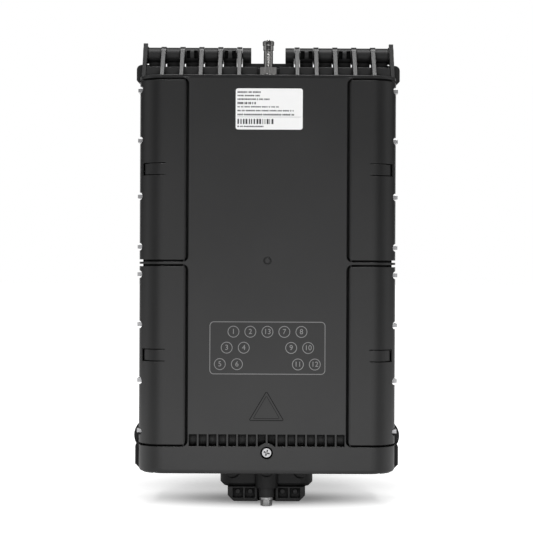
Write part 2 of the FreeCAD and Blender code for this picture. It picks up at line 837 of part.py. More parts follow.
def housing_posts(body):
    """Four posts that carry the fibre tray."""
    posts = sketch(body, "posts_sketch", "XZ", -ROOM_BACK - 1)
    for x in (POST_INSET - TRAY_HALF, TRAY_HALF - POST_INSET):
        for z in (TRAY_BOTTOM + POST_INSET, TRAY_TOP - POST_INSET):
            draw_circle(posts, x, z, POST_RADIUS)
    pad(body, posts, "tray_posts", ROOM_BACK - TRAY_BACK + 1)


def make_rear_housing():
    body = new_body("housing_body")
    housing_shell(body)
    housing_hollows(body)
    housing_back(body)
    housing_floor(body)
    housing_hinge(body)
    housing_posts(body)
    return keep(body, "rear_housing")


def make_seal():
    """Rubber ring lying in the groove of the rim."""
    body = new_body("seal_body")
    plan = sketch(body, "seal_sketch", "XZ", -RIM - SEAL_DEEP)
    draw_box(plan, -SEAL_INNER - SEAL_WIDE, SEAL_INNER + SEAL_WIDE, SEAL_BOTTOM, SEAL_TOP)
    draw_box(plan, -SEAL_INNER, SEAL_INNER, SEAL_BOTTOM + SEAL_WIDE, SEAL_TOP - SEAL_WIDE)
    pad(body, plan, "seal_ring", SEAL_DEEP - 0.1)
    keep(body, "cover_seal")


def make_hinge_rods():
    """A plain rod through each bank of knuckles, just short of the outer eye's face."""
    start = d.barrel_inner + 0.5
    end = d.rib_outer + d.eye_wide * 0.5 - 0.4
    for near, name in ((-end, "left"), (start, "right")):
        shaft = rod(f"rod_{name}", "x", (near, HINGE_Y, HINGE_Z), d.rod_radius, end - start)
        keep(shaft, f"hinge_rod_{name}")


# Side latches

LATCH_REAR = LATCH_SHELF - 0.5
STRIP_THICK = 1.0
HOOK_THICK = 1.5
HOOK_HALF = 1.6
HOOK_IN = 106.9
HOOK_OUT = 112.2
HOOK_REAR = -84.0
HOOK_FRONT = LATCH_REAR - 2.4
TONGUE_HALF = 5.4
TONGUE_SLIT = 0.8
TONGUE_ROOT = 87.0
TIP_SLIT = 1.3
PRY_FAR = 106.3
PRY_DEEP = 1.3
PRY_START = 33.0
PRY_END = 56.0
STRIP_GAP = 98.6
STRIP_END = 45.0


def on_corner(side, radius, degrees):
    """Point on a circle about the centre of the cover's rounded corner, from the side to the front."""
    angle = math.radians(degrees)
    return (side * (CORNER_X + radius * math.cos(angle)), CORNER_Y - radius * math.sin(angle))


def hook_heights(top):
    return [top - drop for drop in (d.hook_first, d.hook_second, d.hook_third, d.hook_fourth)]


def make_latch(name, side, low, high):
    """Curved side latch that turns on its inner edge; side is -1 for left and 1 for right."""
    body = new_body(f"latch_{name}")
    inner = PIVOT_X
    plan = sketch(body, f"latch_{name}_plan", "XY", low)
    outer_side = side * d.cover_half
    inner_side = side * (d.cover_half - d.latch_wall)
    draw_polygon(plan, [
        (side * inner, FRONT), (outer_side, FRONT), (outer_side, LATCH_REAR),
        (inner_side, LATCH_REAR), (inner_side, FRONT + d.latch_wall), (side * inner, FRONT + d.latch_wall),
    ])
    pad(body, plan, f"latch_{name}_shell", high - low)
    fillet(body, f"latch_{name}_outside", d.corner_round, upright_at(d.cover_half, FRONT))
    fillet(body, f"latch_{name}_inside", d.corner_round - d.latch_wall,
           upright_at(d.cover_half - d.latch_wall, FRONT + d.latch_wall))
    bead = sketch(body, f"latch_{name}_bead_sketch", "XY", low)
    draw_circle(bead, side * PIVOT_X, PIVOT_Y, d.pivot_radius)
    pad(body, bead, f"latch_{name}_bead", high - low)
    notches = sketch(body, f"latch_{name}_notch_sketch", "XZ", -LATCH_REAR - 1)
    for z in hook_heights(high):
        draw_circle(notches, side * (d.cover_half + d.notch_out), z, d.notch_radius)
    pocket(body, notches, f"latch_{name}_notches", LATCH_REAR - FRONT + 2)
    slots = sketch(body, f"latch_{name}_slot_sketch", "XZ", -LATCH_REAR - 1)
    for z in hook_heights(high):
        draw_box(slots, side * (HOOK_IN - 2), side * HOOK_OUT, z - HOOK_HALF - 0.2, z + HOOK_HALF + 0.2)
    pocket(body, slots, f"latch_{name}_slots", LATCH_REAR + 1.2 - HOOK_FRONT)
    corners = sketch(body, f"latch_{name}_corner_sketch", "XZ", -PIVOT_Y - BEYOND + 5)
    edge = PIVOT_X - d.pivot_radius
    for end, hand in ((low, -1), (high, 1)):
        draw_corner(corners, side, edge, end, hand, d.latch_corner)
    pocket(body, corners, f"latch_{name}_corners", BEYOND)
    middle = high - d.snap_drop
    slit = sketch(body, f"latch_{name}_slit_sketch", "XZ", -LATCH_REAR - 4)
    tip = PRY_FAR - TIP_SLIT
    near = TONGUE_HALF - TONGUE_SLIT
    draw_polygon(slit, [
        (side * TONGUE_ROOT, middle + TONGUE_HALF), (side * PRY_FAR, middle + TONGUE_HALF),
        (side * PRY_FAR, middle - TONGUE_HALF), (side * TONGUE_ROOT, middle - TONGUE_HALF),
        (side * TONGUE_ROOT, middle - near), (side * tip, middle - near),
        (side * tip, middle + near), (side * TONGUE_ROOT, middle + near),
    ])
    pocket(body, slit, f"latch_{name}_slit", LATCH_REAR - FRONT + 5)
    pry = sketch(body, f"latch_{name}_pry_sketch", "XY", middle - TONGUE_HALF)
    shallow = d.corner_round - PRY_DEEP
    outside = d.corner_round + BEYOND
    centre = (side * CORNER_X, CORNER_Y)
    draw_polygon(pry, [
        on_corner(side, shallow, PRY_START), on_corner(side, shallow, PRY_END),
        on_corner(side, outside, PRY_END), on_corner(side, outside, PRY_START),
    ], {0: centre, 2: centre})
    pocket(body, pry, f"latch_{name}_pry", TONGUE_HALF * 2)
    holes = sketch(body, f"latch_{name}_pin_sketch", "XY", low - 1)
    draw_circle(holes, side * PIVOT_X, PIVOT_Y, d.pin_hole)
    pocket(body, holes, f"latch_{name}_pin_low", PIN_LONG + 1.3)
    holes = sketch(body, f"latch_{name}_pin_high_sketch", "XY", high - PIN_LONG - 0.3)
    draw_circle(holes, side * PIVOT_X, PIVOT_Y, d.pin_hole)
    pocket(body, holes, f"latch_{name}_pin_high", PIN_LONG + 1.3)
    keep(body, f"side_latch_{name}")


def make_strip(name, side, low, high):
    """Curved steel strip against the latch's inner side, with four hooks through the notches."""
    body = new_body(f"strip_{name}")
    outer = d.corner_round - d.latch_wall
    inner = outer - STRIP_THICK
    centre = (side * CORNER_X, CORNER_Y)
    plan = sketch(body, f"strip_{name}_plan", "XY", low + 3)
    draw_polygon(plan, [
        on_corner(side, inner, 0), on_corner(side, inner, STRIP_END),
        on_corner(side, outer, STRIP_END), on_corner(side, outer, 0),
    ], {0: centre, 2: centre})
    pad(body, plan, f"strip_{name}_shell", high - low - 6)
    middle = high - d.snap_drop
    gap = sketch(body, f"strip_{name}_gap_sketch", "XZ", -LATCH_REAR - 4)
    draw_box(gap, side * STRIP_GAP, side * PRY_FAR, middle - TONGUE_HALF - 1, middle + TONGUE_HALF + 1)
    pocket(body, gap, f"strip_{name}_gap", LATCH_REAR - FRONT)
    arms = sketch(body, f"strip_{name}_arm_sketch", "XZ", -HOOK_FRONT - HOOK_THICK)
    legs = sketch(body, f"strip_{name}_leg_sketch", "XZ", -HOOK_REAR)
    for z in hook_heights(high):
        draw_box(arms, side * HOOK_IN, side * HOOK_OUT, z - HOOK_HALF, z + HOOK_HALF)
        draw_box(legs, side * (HOOK_OUT - HOOK_THICK), side * HOOK_OUT, z - HOOK_HALF, z + HOOK_HALF)
    pad(body, arms, f"strip_{name}_arms", HOOK_THICK)
    pad(body, legs, f"strip_{name}_legs", HOOK_REAR - HOOK_FRONT)
    keep(body, f"latch_strip_{name}")


def make_latches():
    levels = {
        "upper": (d.bar_top + d.groove, d.recess_top - d.groove),
        "lower": (d.recess_bottom + d.groove, d.bar_bottom - d.groove),
    }
    for level, (low, high) in levels.items():
        for side, hand in ((-1, "left"), (1, "right")):
            make_latch(f"{level}_{hand}", side, low, high)
            make_strip(f"{level}_{hand}", side, low, high)


def make_latch_pins():
    """Short pins in the bands and the middle bar of the cover, three on each side."""
    reach = d.groove + PIN_LONG
    ends = (
        (d.recess_bottom - PIN_SEAT, d.recess_bottom + reach),
        (d.bar_bottom - reach, d.bar_top + reach),
        (d.recess_top - reach, d.recess_top + PIN_SEAT),
    )
    pins = []
    for side in (-1, 1):
        for index, (low, high) in enumerate(ends):
            name = f"latch_pin_{side + 1}_{index}"
            pins.append(rod(name, "z", (side * PIVOT_X, PIVOT_Y, low), d.pin_radius, high - low))
    keep(group("latch_pin_group", pins), "latch_pins")


# Small hardware on the cover


def turned(name, label, x, y, z, profile):
    """A piece turned about an upright axis, from its half profile of radius and height."""
    body = new_body(f"{name}_body")
    half = sketch(body, f"{name}_profile", "XZ")
    draw_polygon(half, profile)
    revolve(body, half, f"{name}_turned")
    place(body, x, y, z)
    return keep(body, label)


VALVE_TOP = 192.6
NUT_LOW = 166.6
NUT_HIGH = 172.6
NUT_CORNER = 8.0
WASHER_RADIUS = 7.6
CAP_LOW = 187.4
CAP_HEAD = 191.4
CAP_TOP = 195.4
CAP_TIP = 196.6
CROSS_DEEP = 1.4
CROSS_TURN = 20.0


def make_valve():
    """Air test valve through the ledge: stem, gasket, washer, nut and a screw cap."""
    y = -d.valve_depth
    stem = d.valve_radius
    gasket_low = ROOM_TOP - 1.5
    turned("valve_stem", "valve_stem", 0, y, 0, [
        (1.2, gasket_low - 3), (6, gasket_low - 3), (6, gasket_low), (stem, gasket_low),
        (stem, VALVE_TOP - 0.8), (stem - 0.8, VALVE_TOP), (1.2, VALVE_TOP),
    ])
    keep(ring("valve_gasket_ring", "z", (0, y, gasket_low), 6.2, stem + 0.05, 1.5), "valve_gasket")
    washer = ring("valve_washer_ring", "z", (0, y, d.ledge_height), WASHER_RADIUS, stem + 0.1,
                  NUT_LOW - d.ledge_height)
    keep(washer, "valve_washer")
    nut = hexagon("valve_nut_hex", "z", (0, y, NUT_LOW), NUT_CORNER, NUT_HIGH - NUT_LOW)
    nut.Placement.Rotation = FreeCAD.Rotation(FreeCAD.Vector(0, 0, 1), 90)
    hole = rod("valve_nut_hole", "z", (0, y, NUT_LOW), stem + 0.05, NUT_HIGH - NUT_LOW)
    keep(cut("valve_nut_cut", nut, hole), "valve_nut")
    inner = stem + 0.3
    skirt = stem + 0.65
    head = stem + 0.95
    turned("valve_cap", "valve_cap", 0, y, 0, [
        (inner, CAP_LOW), (skirt, CAP_LOW), (skirt, CAP_HEAD), (head, CAP_HEAD + 0.3),
        (head, CAP_TOP - 0.4), (head - 0.4, CAP_TOP), (1.8, CAP_TOP), (1.2, CAP_TIP),
        (0, CAP_TIP), (0, VALVE_TOP + 0.4), (inner, VALVE_TOP + 0.4),
    ])


def make_lock_screw():
    """Pan head screw and washer in the recess of the bottom band, and the insert it goes into."""
    seat = FRONT + 5
    head_thick = 2.8
    washer_thick = 0.8
    z = d.lock_height
    top = seat - washer_thick - head_thick
    head = rod("lock_head", "y", (0, top, z), 3.9, head_thick)
    shank = rod("lock_shank", "y", (0, seat - washer_thick - 0.2, z), d.lock_shank,
                RIM + 6 - seat + washer_thick + 0.2)
    cross = fuse("lock_cross", [
        block("lock_cross_wide", -2.6, 2.6, -1, CROSS_DEEP, -0.65, 0.65),
        block("lock_cross_tall", -0.65, 0.65, -1, CROSS_DEEP, -2.6, 2.6),
    ])
    place(cross, 0, top, z)
    cross.Placement.Rotation = FreeCAD.Rotation(FreeCAD.Vector(0, 1, 0), CROSS_TURN)
    keep(cut("lock_screw_cut", fuse("lock_screw_fused", [head, shank]), cross), "lock_screw")
    keep(ring("lock_washer_ring", "y", (0, seat - washer_thick, z), 4.1, d.lock_shank + 0.1, washer_thick),
         "lock_washer")
    keep(ring("lock_insert_ring", "y", (0, RIM, z), 3.2, d.lock_shank + 0.4, 8), "lock_insert")


def make_label():
    """Thin plate label on the upper part of the centre plate."""
    body = new_body("label_body")
    plan = sketch(body, "label_sketch", "XZ", -FRONT)
    draw_box(plan, -27.6, 29.4, 118.9, 153.9)
    pad(body, plan, "label_sheet", 0.3)

    def corner(start, end, middle):
        return at(start.x, end.x) and at(start.z, end.z)

    fillet(body, "label_corners", 2.1, corner)
    keep(body, "label_plate")


# Sockets and cable entry


def make_sockets():
    """Turned sockets under the floor, with their nuts inside and sealing rings in the holes."""
    low = d.floor_bottom
    nuts = []
    seals = []
    thick = 1.0
    for number, x, y in sockets():
        name = f"socket_{number:02d}"
        turned(name, f"port_socket_{number:02d}", x, y, low, [
            (1.3, 13), (d.socket_stud, 13), (d.socket_stud, -thick), (d.socket_flange, -thick),
            (d.socket_flange, -4), (d.socket_radius, -4), (d.socket_radius, -d.socket_long),
            (d.socket_bore, -d.socket_long), (d.socket_bore, -6), (1.3, -6),
        ])
        hexed = hexagon(f"{name}_hex", "z", (x, y, d.floor_top), 9.0, 5)
        hole = rod(f"{name}_nut_hole", "z", (x, y, d.floor_top), d.socket_stud + 0.05, 5)
        nuts.append(cut(f"{name}_nut", hexed, hole))
        seals.append(ring(f"{name}_seal", "z", (x, y, low - thick), d.socket_flange - 0.3,
                          d.socket_stud + 0.05, thick))
    keep(group("port_nut_group", nuts), "port_nuts")
    keep(group("port_seal_group", seals), "port_seals")


COLLAR_BEVEL = 3.2
DISH_X = 30.0
DISH_Z = -176.5
DISH_RADIUS = 6.8
COLUMN_RADIUS = 9.8
COLUMN_Y = -79.0
COLUMN_TOP = -165.0
COLUMN_LOW = -191.0
NECK_LOW = -199.3
NECK_RADIUS = 6.8
SEAT_RADIUS = 8.2
BOLT_RADIUS = 3.0
CLAMP_HALF = 34.0
CLAMP_CHAMFER = 5.2
RUBBER_TOP = -162.0
PLUG_X = 17.0
PLUG_RADIUS = 6.0


def draw_oval(made, half, radius, y):
    """Outline with half-round ends, long in X."""
    flat = half - radius
    near = y - radius
    far = y + radius
    draw_polygon(made, [
        (-flat, near), (flat, near), (half, y), (flat, far), (-flat, far), (-half, y),
    ], {1: (flat, y), 2: (flat, y), 4: (-flat, y), 5: (-flat, y)})


def make_entry_collar():
    """Oval collar under the floor with a bevelled lower edge and a half-round bolt column in front."""
    body = new_body("collar_body")
    y = -d.entry_depth
    plan = sketch(body, "collar_plan", "XY", d.entry_step)
    draw_oval(plan, d.entry_half, d.entry_radius, y)
    pad(body, plan, "collar_block", d.floor_bottom - d.entry_step)
    edges = [f"Edge{i}" for i, edge in enumerate(body.Tip.Shape.Edges, start=1)
             if all(at(v.Z, d.entry_step) for v in edge.Vertexes)]
    bevel = body.newObject("PartDesign::Chamfer", "collar_bevel")
    bevel.Base = (doc.getObject("collar_block"), edges)
    bind(bevel, "Size", COLLAR_BEVEL)
    doc.recompute()
    column = sketch(body, "column_sketch", "XY", COLUMN_LOW)
    draw_circle(column, 0, COLUMN_Y, COLUMN_RADIUS)
    pad(body, column, "column", COLUMN_TOP - COLUMN_LOW)
    hollow = sketch(body, "collar_hollow_sketch", "XY", d.entry_step - BEYOND)
    draw_oval(hollow, d.entry_half - ENTRY_WALL, d.entry_radius - ENTRY_WALL, y)
    pocket(body, hollow, "collar_hollow", d.floor_bottom - d.entry_step + BEYOND + 1)
    hole = sketch(body, "collar_bolt_sketch", "XY", COLUMN_LOW - 1)
    draw_circle(hole, 0, COLUMN_Y, BOLT_RADIUS + 0.2)
    pocket(body, hole, "collar_bolt_hole", 22)
    dishes = sketch(body, "side_dishes_sketch", "XZ", -y + d.entry_radius - 2)
    for x in (-DISH_X, DISH_X):
        draw_circle(dishes, x, DISH_Z, DISH_RADIUS)
    pocket(body, dishes, "side_dishes", 3)
    front_dish = sketch(body, "front_dish_sketch", "XZ", -COLUMN_Y + COLUMN_RADIUS - 1.6)
    draw_circle(front_dish, 0, DISH_Z + 2, DISH_RADIUS - 0.5)
    pocket(body, front_dish, "front_dish", 3)
    keep(body, "entry_collar")


def make_entry_clamp():
    """Ribbed clamp plate under the collar, drawn up by the bolt against the rubber block."""
    body = new_body("clamp_body")
    top = d.entry_step
    low = d.entry_bottom
    front = -d.entry_depth - d.entry_radius + 0.6
    depth = 26.0
    face = sketch(body, "clamp_face", "XZ", -front - depth)
    draw_polygon(face, [
        (-CLAMP_HALF, top), (-CLAMP_HALF, low + CLAMP_CHAMFER), (-CLAMP_HALF + CLAMP_CHAMFER, low),
        (CLAMP_HALF - CLAMP_CHAMFER, low), (CLAMP_HALF, low + CLAMP_CHAMFER), (CLAMP_HALF, top),
    ])
    pad(body, face, "clamp_block", depth)
    windows = sketch(body, "clamp_windows_sketch", "XZ", -front - 3)
    for side in (-1, 1):
        draw_box(windows, side * 10.2, side * 18.8, low + 3, top - 1)
        draw_box(windows, side * 20.6, side * 29.6, low + 3, top - 1)
    pocket(body, windows, "clamp_windows", 4)
    pegs = sketch(body, "clamp_pegs_sketch", "XZ", -front - 4)
    for side in (-1, 1):
        draw_circle(pegs, side * 14.2, top - 4.4, 2)
        draw_circle(pegs, side * 25.2, top - 4.4, 2)
    pad(body, pegs, "clamp_pegs", 2.6)
    seat = sketch(body, "clamp_seat_sketch", "XY", low - 1)
    draw_circle(seat, 0, COLUMN_Y, SEAT_RADIUS)
    pocket(body, seat, "clamp_seat", COLUMN_LOW - low + 1)
    upper_seat = sketch(body, "clamp_upper_seat_sketch", "XY", COLUMN_LOW - 0.01)
    draw_circle(upper_seat, 0, COLUMN_Y, COLUMN_RADIUS)
    pocket(body, upper_seat, "clamp_upper_seat", top - COLUMN_LOW + 1)
    neck = sketch(body, "clamp_neck_sketch", "XY", NECK_LOW)
    draw_circle(neck, 0, COLUMN_Y, NECK_RADIUS)
    pad(body, neck, "clamp_neck", COLUMN_LOW - NECK_LOW)
    tie = sketch(body, "clamp_tie_sketch", "XY", NECK_LOW)
    draw_box(tie, -3, 3, COLUMN_Y + 4, COLUMN_Y + 12)
    pad(body, tie, "clamp_tie", COLUMN_LOW - NECK_LOW)
    hole = sketch(body, "clamp_bolt_sketch", "XY", NECK_LOW - 1)
    draw_circle(hole, 0, COLUMN_Y, BOLT_RADIUS + 0.2)
    pocket(body, hole, "clamp_bolt_hole", COLUMN_LOW - NECK_LOW + 2)
    holes = sketch(body, "clamp_plug_sketch", "XY", low - 1)
    for side in (-1, 1):
        draw_circle(holes, side * PLUG_X, -d.entry_depth, PLUG_RADIUS)
    pocket(body, holes, "clamp_plug_holes", top - low + 2)
    keep(body, "entry_clamp")


def make_entry_inside():
    """Rubber block inside the collar, its two blanking plugs and the bolt."""
    y = -d.entry_depth
    rubber = oval("seal_block", d.entry_half - ENTRY_WALL, d.entry_radius - ENTRY_WALL, y,
                  d.entry_step, RUBBER_TOP)
    holes = []
    plugs = []
    for index, x in enumerate((-PLUG_X, PLUG_X)):
        holes.append(rod(f"seal_hole_{index}", "z", (x, y, d.entry_step - 1), PLUG_RADIUS,
                         RUBBER_TOP - d.entry_step + 2))
        plugs.append(rod(f"plug_{index}", "z", (x, y, d.entry_bottom + 1), PLUG_RADIUS,
                         RUBBER_TOP - d.entry_bottom + 1.5))
    keep(cut("entry_rubber", rubber, fuse("seal_holes", holes)), "entry_seal")
    keep(group("plug_group", plugs), "entry_plugs")
    flange_thick = 2.2
    head_thick = 5.6
    flange_low = NECK_LOW - flange_thick
    keep(fuse("entry_bolt_fused", [
        rod("entry_bolt_shank", "z", (0, COLUMN_Y, NECK_LOW - 0.1), BOLT_RADIUS, 26),
        rod("entry_bolt_flange", "z", (0, COLUMN_Y, flange_low), 6.2, flange_thick),
        hexagon("entry_bolt_head", "z", (0, COLUMN_Y, flange_low - head_thick), 5.2, head_thick),
    ]), "entry_bolt")


# Inside the room

SPOOL_X = 62.0
SPOOL_Z = -22.0
SPOOL_RADIUS = 21.0
SPOOL_LIP = 25.0
SPLITTER_HALF = 52.0
SPLITTER_LOW = -88.0
SPLITTER_HIGH = -52.0


def make_tray():
    """Fibre tray with bend drums and a splice comb, its clear lid and four screws."""
    body = new_body("tray_body")
    front = TRAY_BACK - TRAY_DEEP
    plan = sketch(body, "tray_plan", "XZ", -TRAY_BACK)
    draw_box(plan, -TRAY_HALF, TRAY_HALF, TRAY_BOTTOM, TRAY_TOP)
    pad(body, plan, "tray_block", TRAY_DEEP)

    def corner(start, end, middle):
        return at(start.x, end.x) and at(start.z, end.z)

    fillet(body, "tray_corners", 12, corner)
    hollow = sketch(body, "tray_hollow_sketch", "XZ", -TRAY_BACK + 1.8)
    wall = 2.0
    ear = POST_INSET * 2
    draw_polygon(hollow, [
        (-TRAY_HALF + ear, TRAY_BOTTOM + wall), (TRAY_HALF - ear, TRAY_BOTTOM + wall),
        (TRAY_HALF - ear, TRAY_BOTTOM + ear), (TRAY_HALF - wall, TRAY_BOTTOM + ear),
        (TRAY_HALF - wall, TRAY_TOP - ear), (TRAY_HALF - ear, TRAY_TOP - ear),
        (TRAY_HALF - ear, TRAY_TOP - wall), (-TRAY_HALF + ear, TRAY_TOP - wall),
        (-TRAY_HALF + ear, TRAY_TOP - ear), (-TRAY_HALF + wall, TRAY_TOP - ear),
        (-TRAY_HALF + wall, TRAY_BOTTOM + ear), (-TRAY_HALF + ear, TRAY_BOTTOM + ear),
    ])
    pocket(body, hollow, "tray_hollow", TRAY_DEEP)
    middle = (TRAY_TOP + TRAY_BOTTOM) / 2
    drums = sketch(body, "tray_drums_sketch", "XZ", -TRAY_BACK + 1)
    for side in (-1, 1):
        draw_circle(drums, side * 45, middle, 22)
        draw_circle(drums, side * 45, middle, 19.5)
    pad(body, drums, "tray_drums", TRAY_DEEP - 2)
    comb = sketch(body, "tray_comb_sketch", "XZ", -TRAY_BACK + 1)
    for index in range(7):
        z = middle + (index - 3) * 5
        draw_box(comb, -17, 17, z - 0.7, z + 0.7)
    pad(body, comb, "tray_comb", TRAY_DEEP - 3)
    holes = sketch(body, "tray_holes_sketch", "XZ", -TRAY_BACK - 1)
    post_x = TRAY_HALF - POST_INSET
    posts = [(x, z) for x in (-post_x, post_x)
             for z in (TRAY_BOTTOM + POST_INSET, TRAY_TOP - POST_INSET)]
    for x, z in posts:
        draw_circle(holes, x, z, 1.6)
    pocket(body, holes, "tray_holes", TRAY_DEEP + 2)
    keep(body, "splice_tray")

    lid = new_body("lid_body")
    sheet_plan = sketch(lid, "lid_plan", "XZ", -front)
    draw_box(sheet_plan, -TRAY_HALF, TRAY_HALF, TRAY_BOTTOM, TRAY_TOP)
    pad(lid, sheet_plan, "lid_sheet", 1.6)
    fillet(lid, "lid_corners", 12, corner)
    lid_holes = sketch(lid, "lid_holes_sketch", "XZ", -front - 1)
    for x, z in posts:
        draw_circle(lid_holes, x, z, 1.6)
    pocket(lid, lid_holes, "lid_screw_holes", 4)
    keep(lid, "tray_lid")

    screws = []
    for index, (x, z) in enumerate(posts):
        head = rod(f"tray_screw_{index}_head", "y", (x, front - 1.6 - 2, z), 2.8, 2)
        shank = rod(f"tray_screw_{index}_shank", "y", (x, front - 1.7, z), 1.5, TRAY_DEEP + 1.7)
        screws.append(fuse(f"tray_screw_{index}", [head, shank]))
    keep(group("tray_screw_group", screws), "tray_screws")


def make_inside():
    """Splitter, slack spools and the clamp for the cable's strength member."""
    half = SPLITTER_HALF
    case = block("splitter_case", -half, as_size(half), ROOM_BACK - 12, ROOM_BACK, SPLITTER_LOW,
                 as_size(SPLITTER_HIGH))
    level = (SPLITTER_LOW + SPLITTER_HIGH) / 2
    boot_left = rod("splitter_boot_left", "x", (-half - 10, ROOM_BACK - 6, level), 3.2, 10)
    boot_right = rod("splitter_boot_right", "x", (half, ROOM_BACK - 6, level), 3.2, 10)
    keep(fuse("splitter", [case, boot_left, boot_right]), "splitter_module")
    for side, hand in ((-1, "left"), (1, "right")):
        x = side * SPOOL_X
        spool = fuse(f"spool_{hand}_solid", [
            rod(f"spool_{hand}_drum", "y", (x, ROOM_BACK - 20, SPOOL_Z), SPOOL_RADIUS, 20),
            rod(f"spool_{hand}_lip", "y", (x, ROOM_BACK - 22, SPOOL_Z), SPOOL_LIP, 2),
        ])
        bore = rod(f"spool_{hand}_bore", "y", (x, ROOM_BACK - 23, SPOOL_Z), SPOOL_RADIUS - 3, 20)
        keep(cut(f"spool_{hand}", spool, bore), f"slack_spool_{hand}")
    y = -d.entry_depth
    base = block("clamp_foot", -24, as_size(24), y + 10, y + 16, d.floor_top, d.floor_top + 4)
    jaw = block("clamp_jaw", -12, as_size(12), y + 10, y + 16, d.floor_top + 4, d.floor_top + 16)
    hole = rod("clamp_jaw_hole", "z", (0, y + 13, d.floor_top + 6), 1.6, 11)
    keep(cut("strength", fuse("strength_solid", [base, jaw]), hole), "strength_clamp")
    keep(fuse("clamp_screw_fused", [
        rod("clamp_screw_head", "z", (0, y + 13, d.floor_top + 16), 3.0, 2.2),
        rod("clamp_screw_shank", "z", (0, y + 13, d.floor_top + 7), 1.5, 9.1),
    ]), "clamp_screw")


def write_parts():
    """Check every object and every sub-part, then write one file for each sub-part."""
    doc.recompute()
    for item in doc.Objects:
        if "Invalid" in item.State or "Error" in item.State:
            raise RuntimeError(f"{item.Name} failed: {item.State}")
    for label, item in parts.items():
        if item.Shape.isNull() or not item.Shape.isValid():
            raise RuntimeError(f"{label} has no valid shape")
    os.makedirs("parts", exist_ok=True)
    for label, item in parts.items():
        item.Shape.exportStep(f"parts/{label}.step")
        print(label, len(item.Shape.Solids), round(item.Shape.Volume / 1000, 2), "cm3")


def main():
    make_rear_housing()
    make_front_cover()
    make_seal()
    make_hinge_rods()
    make_latches()
    make_latch_pins()
    make_valve()
    make_lock_screw()
    make_label()
    make_sockets()
    make_entry_collar()
    make_entry_clamp()
    make_entry_inside()
    make_tray()
    make_inside()
    write_parts()


main()
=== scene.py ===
import json
import math
import random

import bmesh
import bpy
from mathutils import Matrix, Vector


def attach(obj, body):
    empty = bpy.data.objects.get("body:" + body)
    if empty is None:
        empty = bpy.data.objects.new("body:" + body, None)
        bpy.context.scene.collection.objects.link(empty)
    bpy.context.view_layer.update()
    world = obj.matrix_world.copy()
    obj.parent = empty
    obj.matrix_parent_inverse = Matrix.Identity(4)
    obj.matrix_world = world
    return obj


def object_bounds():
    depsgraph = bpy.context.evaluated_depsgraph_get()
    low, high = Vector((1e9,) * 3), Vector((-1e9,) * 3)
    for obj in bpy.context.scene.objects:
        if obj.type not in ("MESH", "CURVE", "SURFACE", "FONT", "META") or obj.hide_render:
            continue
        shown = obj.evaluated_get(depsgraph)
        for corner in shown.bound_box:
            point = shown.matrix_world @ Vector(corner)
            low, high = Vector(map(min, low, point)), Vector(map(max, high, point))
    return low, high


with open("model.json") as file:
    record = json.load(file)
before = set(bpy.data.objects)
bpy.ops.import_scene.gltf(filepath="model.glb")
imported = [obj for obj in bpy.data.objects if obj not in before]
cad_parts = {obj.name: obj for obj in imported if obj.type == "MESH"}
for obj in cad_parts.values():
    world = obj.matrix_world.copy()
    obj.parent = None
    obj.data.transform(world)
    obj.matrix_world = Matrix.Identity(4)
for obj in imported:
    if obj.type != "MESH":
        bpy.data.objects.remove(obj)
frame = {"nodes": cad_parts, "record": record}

CAD_BOX = [list(corner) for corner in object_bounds()]
MM = 0.001

# Places shared with the solids, in millimetres of the row frame
FRONT = -118.0
LABEL_FACE = FRONT - 0.3
VALVE_Y = -108.5

# The photo on the front plate: its size and middle in pixels, and millimetres for a pixel
PHOTO_SIZE = 533
PHOTO_X = 267.0
PHOTO_Y = 269.5
PIXEL = 0.85


def photo_x(pixel):
    """X on the front plate for a column of the photo."""
    return (pixel - PHOTO_X) * PIXEL


def photo_z(pixel):
    """Z on the front plate for a row of the photo."""
    return (PHOTO_Y - pixel) * PIXEL


# Materials

RELIEF_HEIGHT = 0.00004
TONE_SCALE = 14
PATCH_SCALE = 30
PATCH_SPREAD = 0.015
# Colour factor of the painted shade at the bottom of grooves
GROOVE_SHADE = 0.04
GROOVE_ROUGH = 0.9
STREAK_SCALE = 500
STREAK_TONE = 0.82
METAL_EDGE = 0.0003
HAZE_SCALE = 40
CLEAR_IOR = 1.49


def shader(name):
    """A new node material, its tree and its principled shader."""
    material = bpy.data.materials.new(name)
    material.use_nodes = True
    tree = material.node_tree
    return material, tree, tree.nodes["Principled BSDF"]


def add(tree, kind, **sockets):
    """A node with some input sockets set; spaces in socket names are written as underscores."""
    node = tree.nodes.new(kind)
    for name, value in sockets.items():
        node.inputs[name.replace("_", " ")].default_value = value
    return node


def object_noise(tree, scale, detail, stretch=(1, 1, 1)):
    """Noise fixed to the object."""
    coords = tree.nodes.new("ShaderNodeTexCoord")
    mapping = add(tree, "ShaderNodeMapping", Scale=stretch)
    noise = add(tree, "ShaderNodeTexNoise", Scale=scale, Detail=detail)
    tree.links.new(coords.outputs["Object"], mapping.inputs["Vector"])
    tree.links.new(mapping.outputs["Vector"], noise.inputs["Vector"])
    return noise.outputs["Fac"]


def ramp(tree, value, low, high):
    """Colours from low to high by the middle range of a noise."""
    node = tree.nodes.new("ShaderNodeValToRGB")
    first, last = node.color_ramp.elements
    first.position, last.position = 0.3, 0.7
    first.color, last.color = (*low, 1), (*high, 1)
    tree.links.new(value, node.inputs["Fac"])
    return node.outputs["Color"]


def map_range(tree, value, from_min, from_max, to_min, to_max):
    """A number moved from one range to another."""
    node = add(tree, "ShaderNodeMapRange", From_Min=from_min, From_Max=from_max,
               To_Min=to_min, To_Max=to_max)
    tree.links.new(value, node.inputs["Value"])
    return node


def spread(tree, value, low, high):
    """A number from low to high by the middle range of a noise."""
    return map_range(tree, value, 0.3, 0.7, low, high).outputs["Result"]


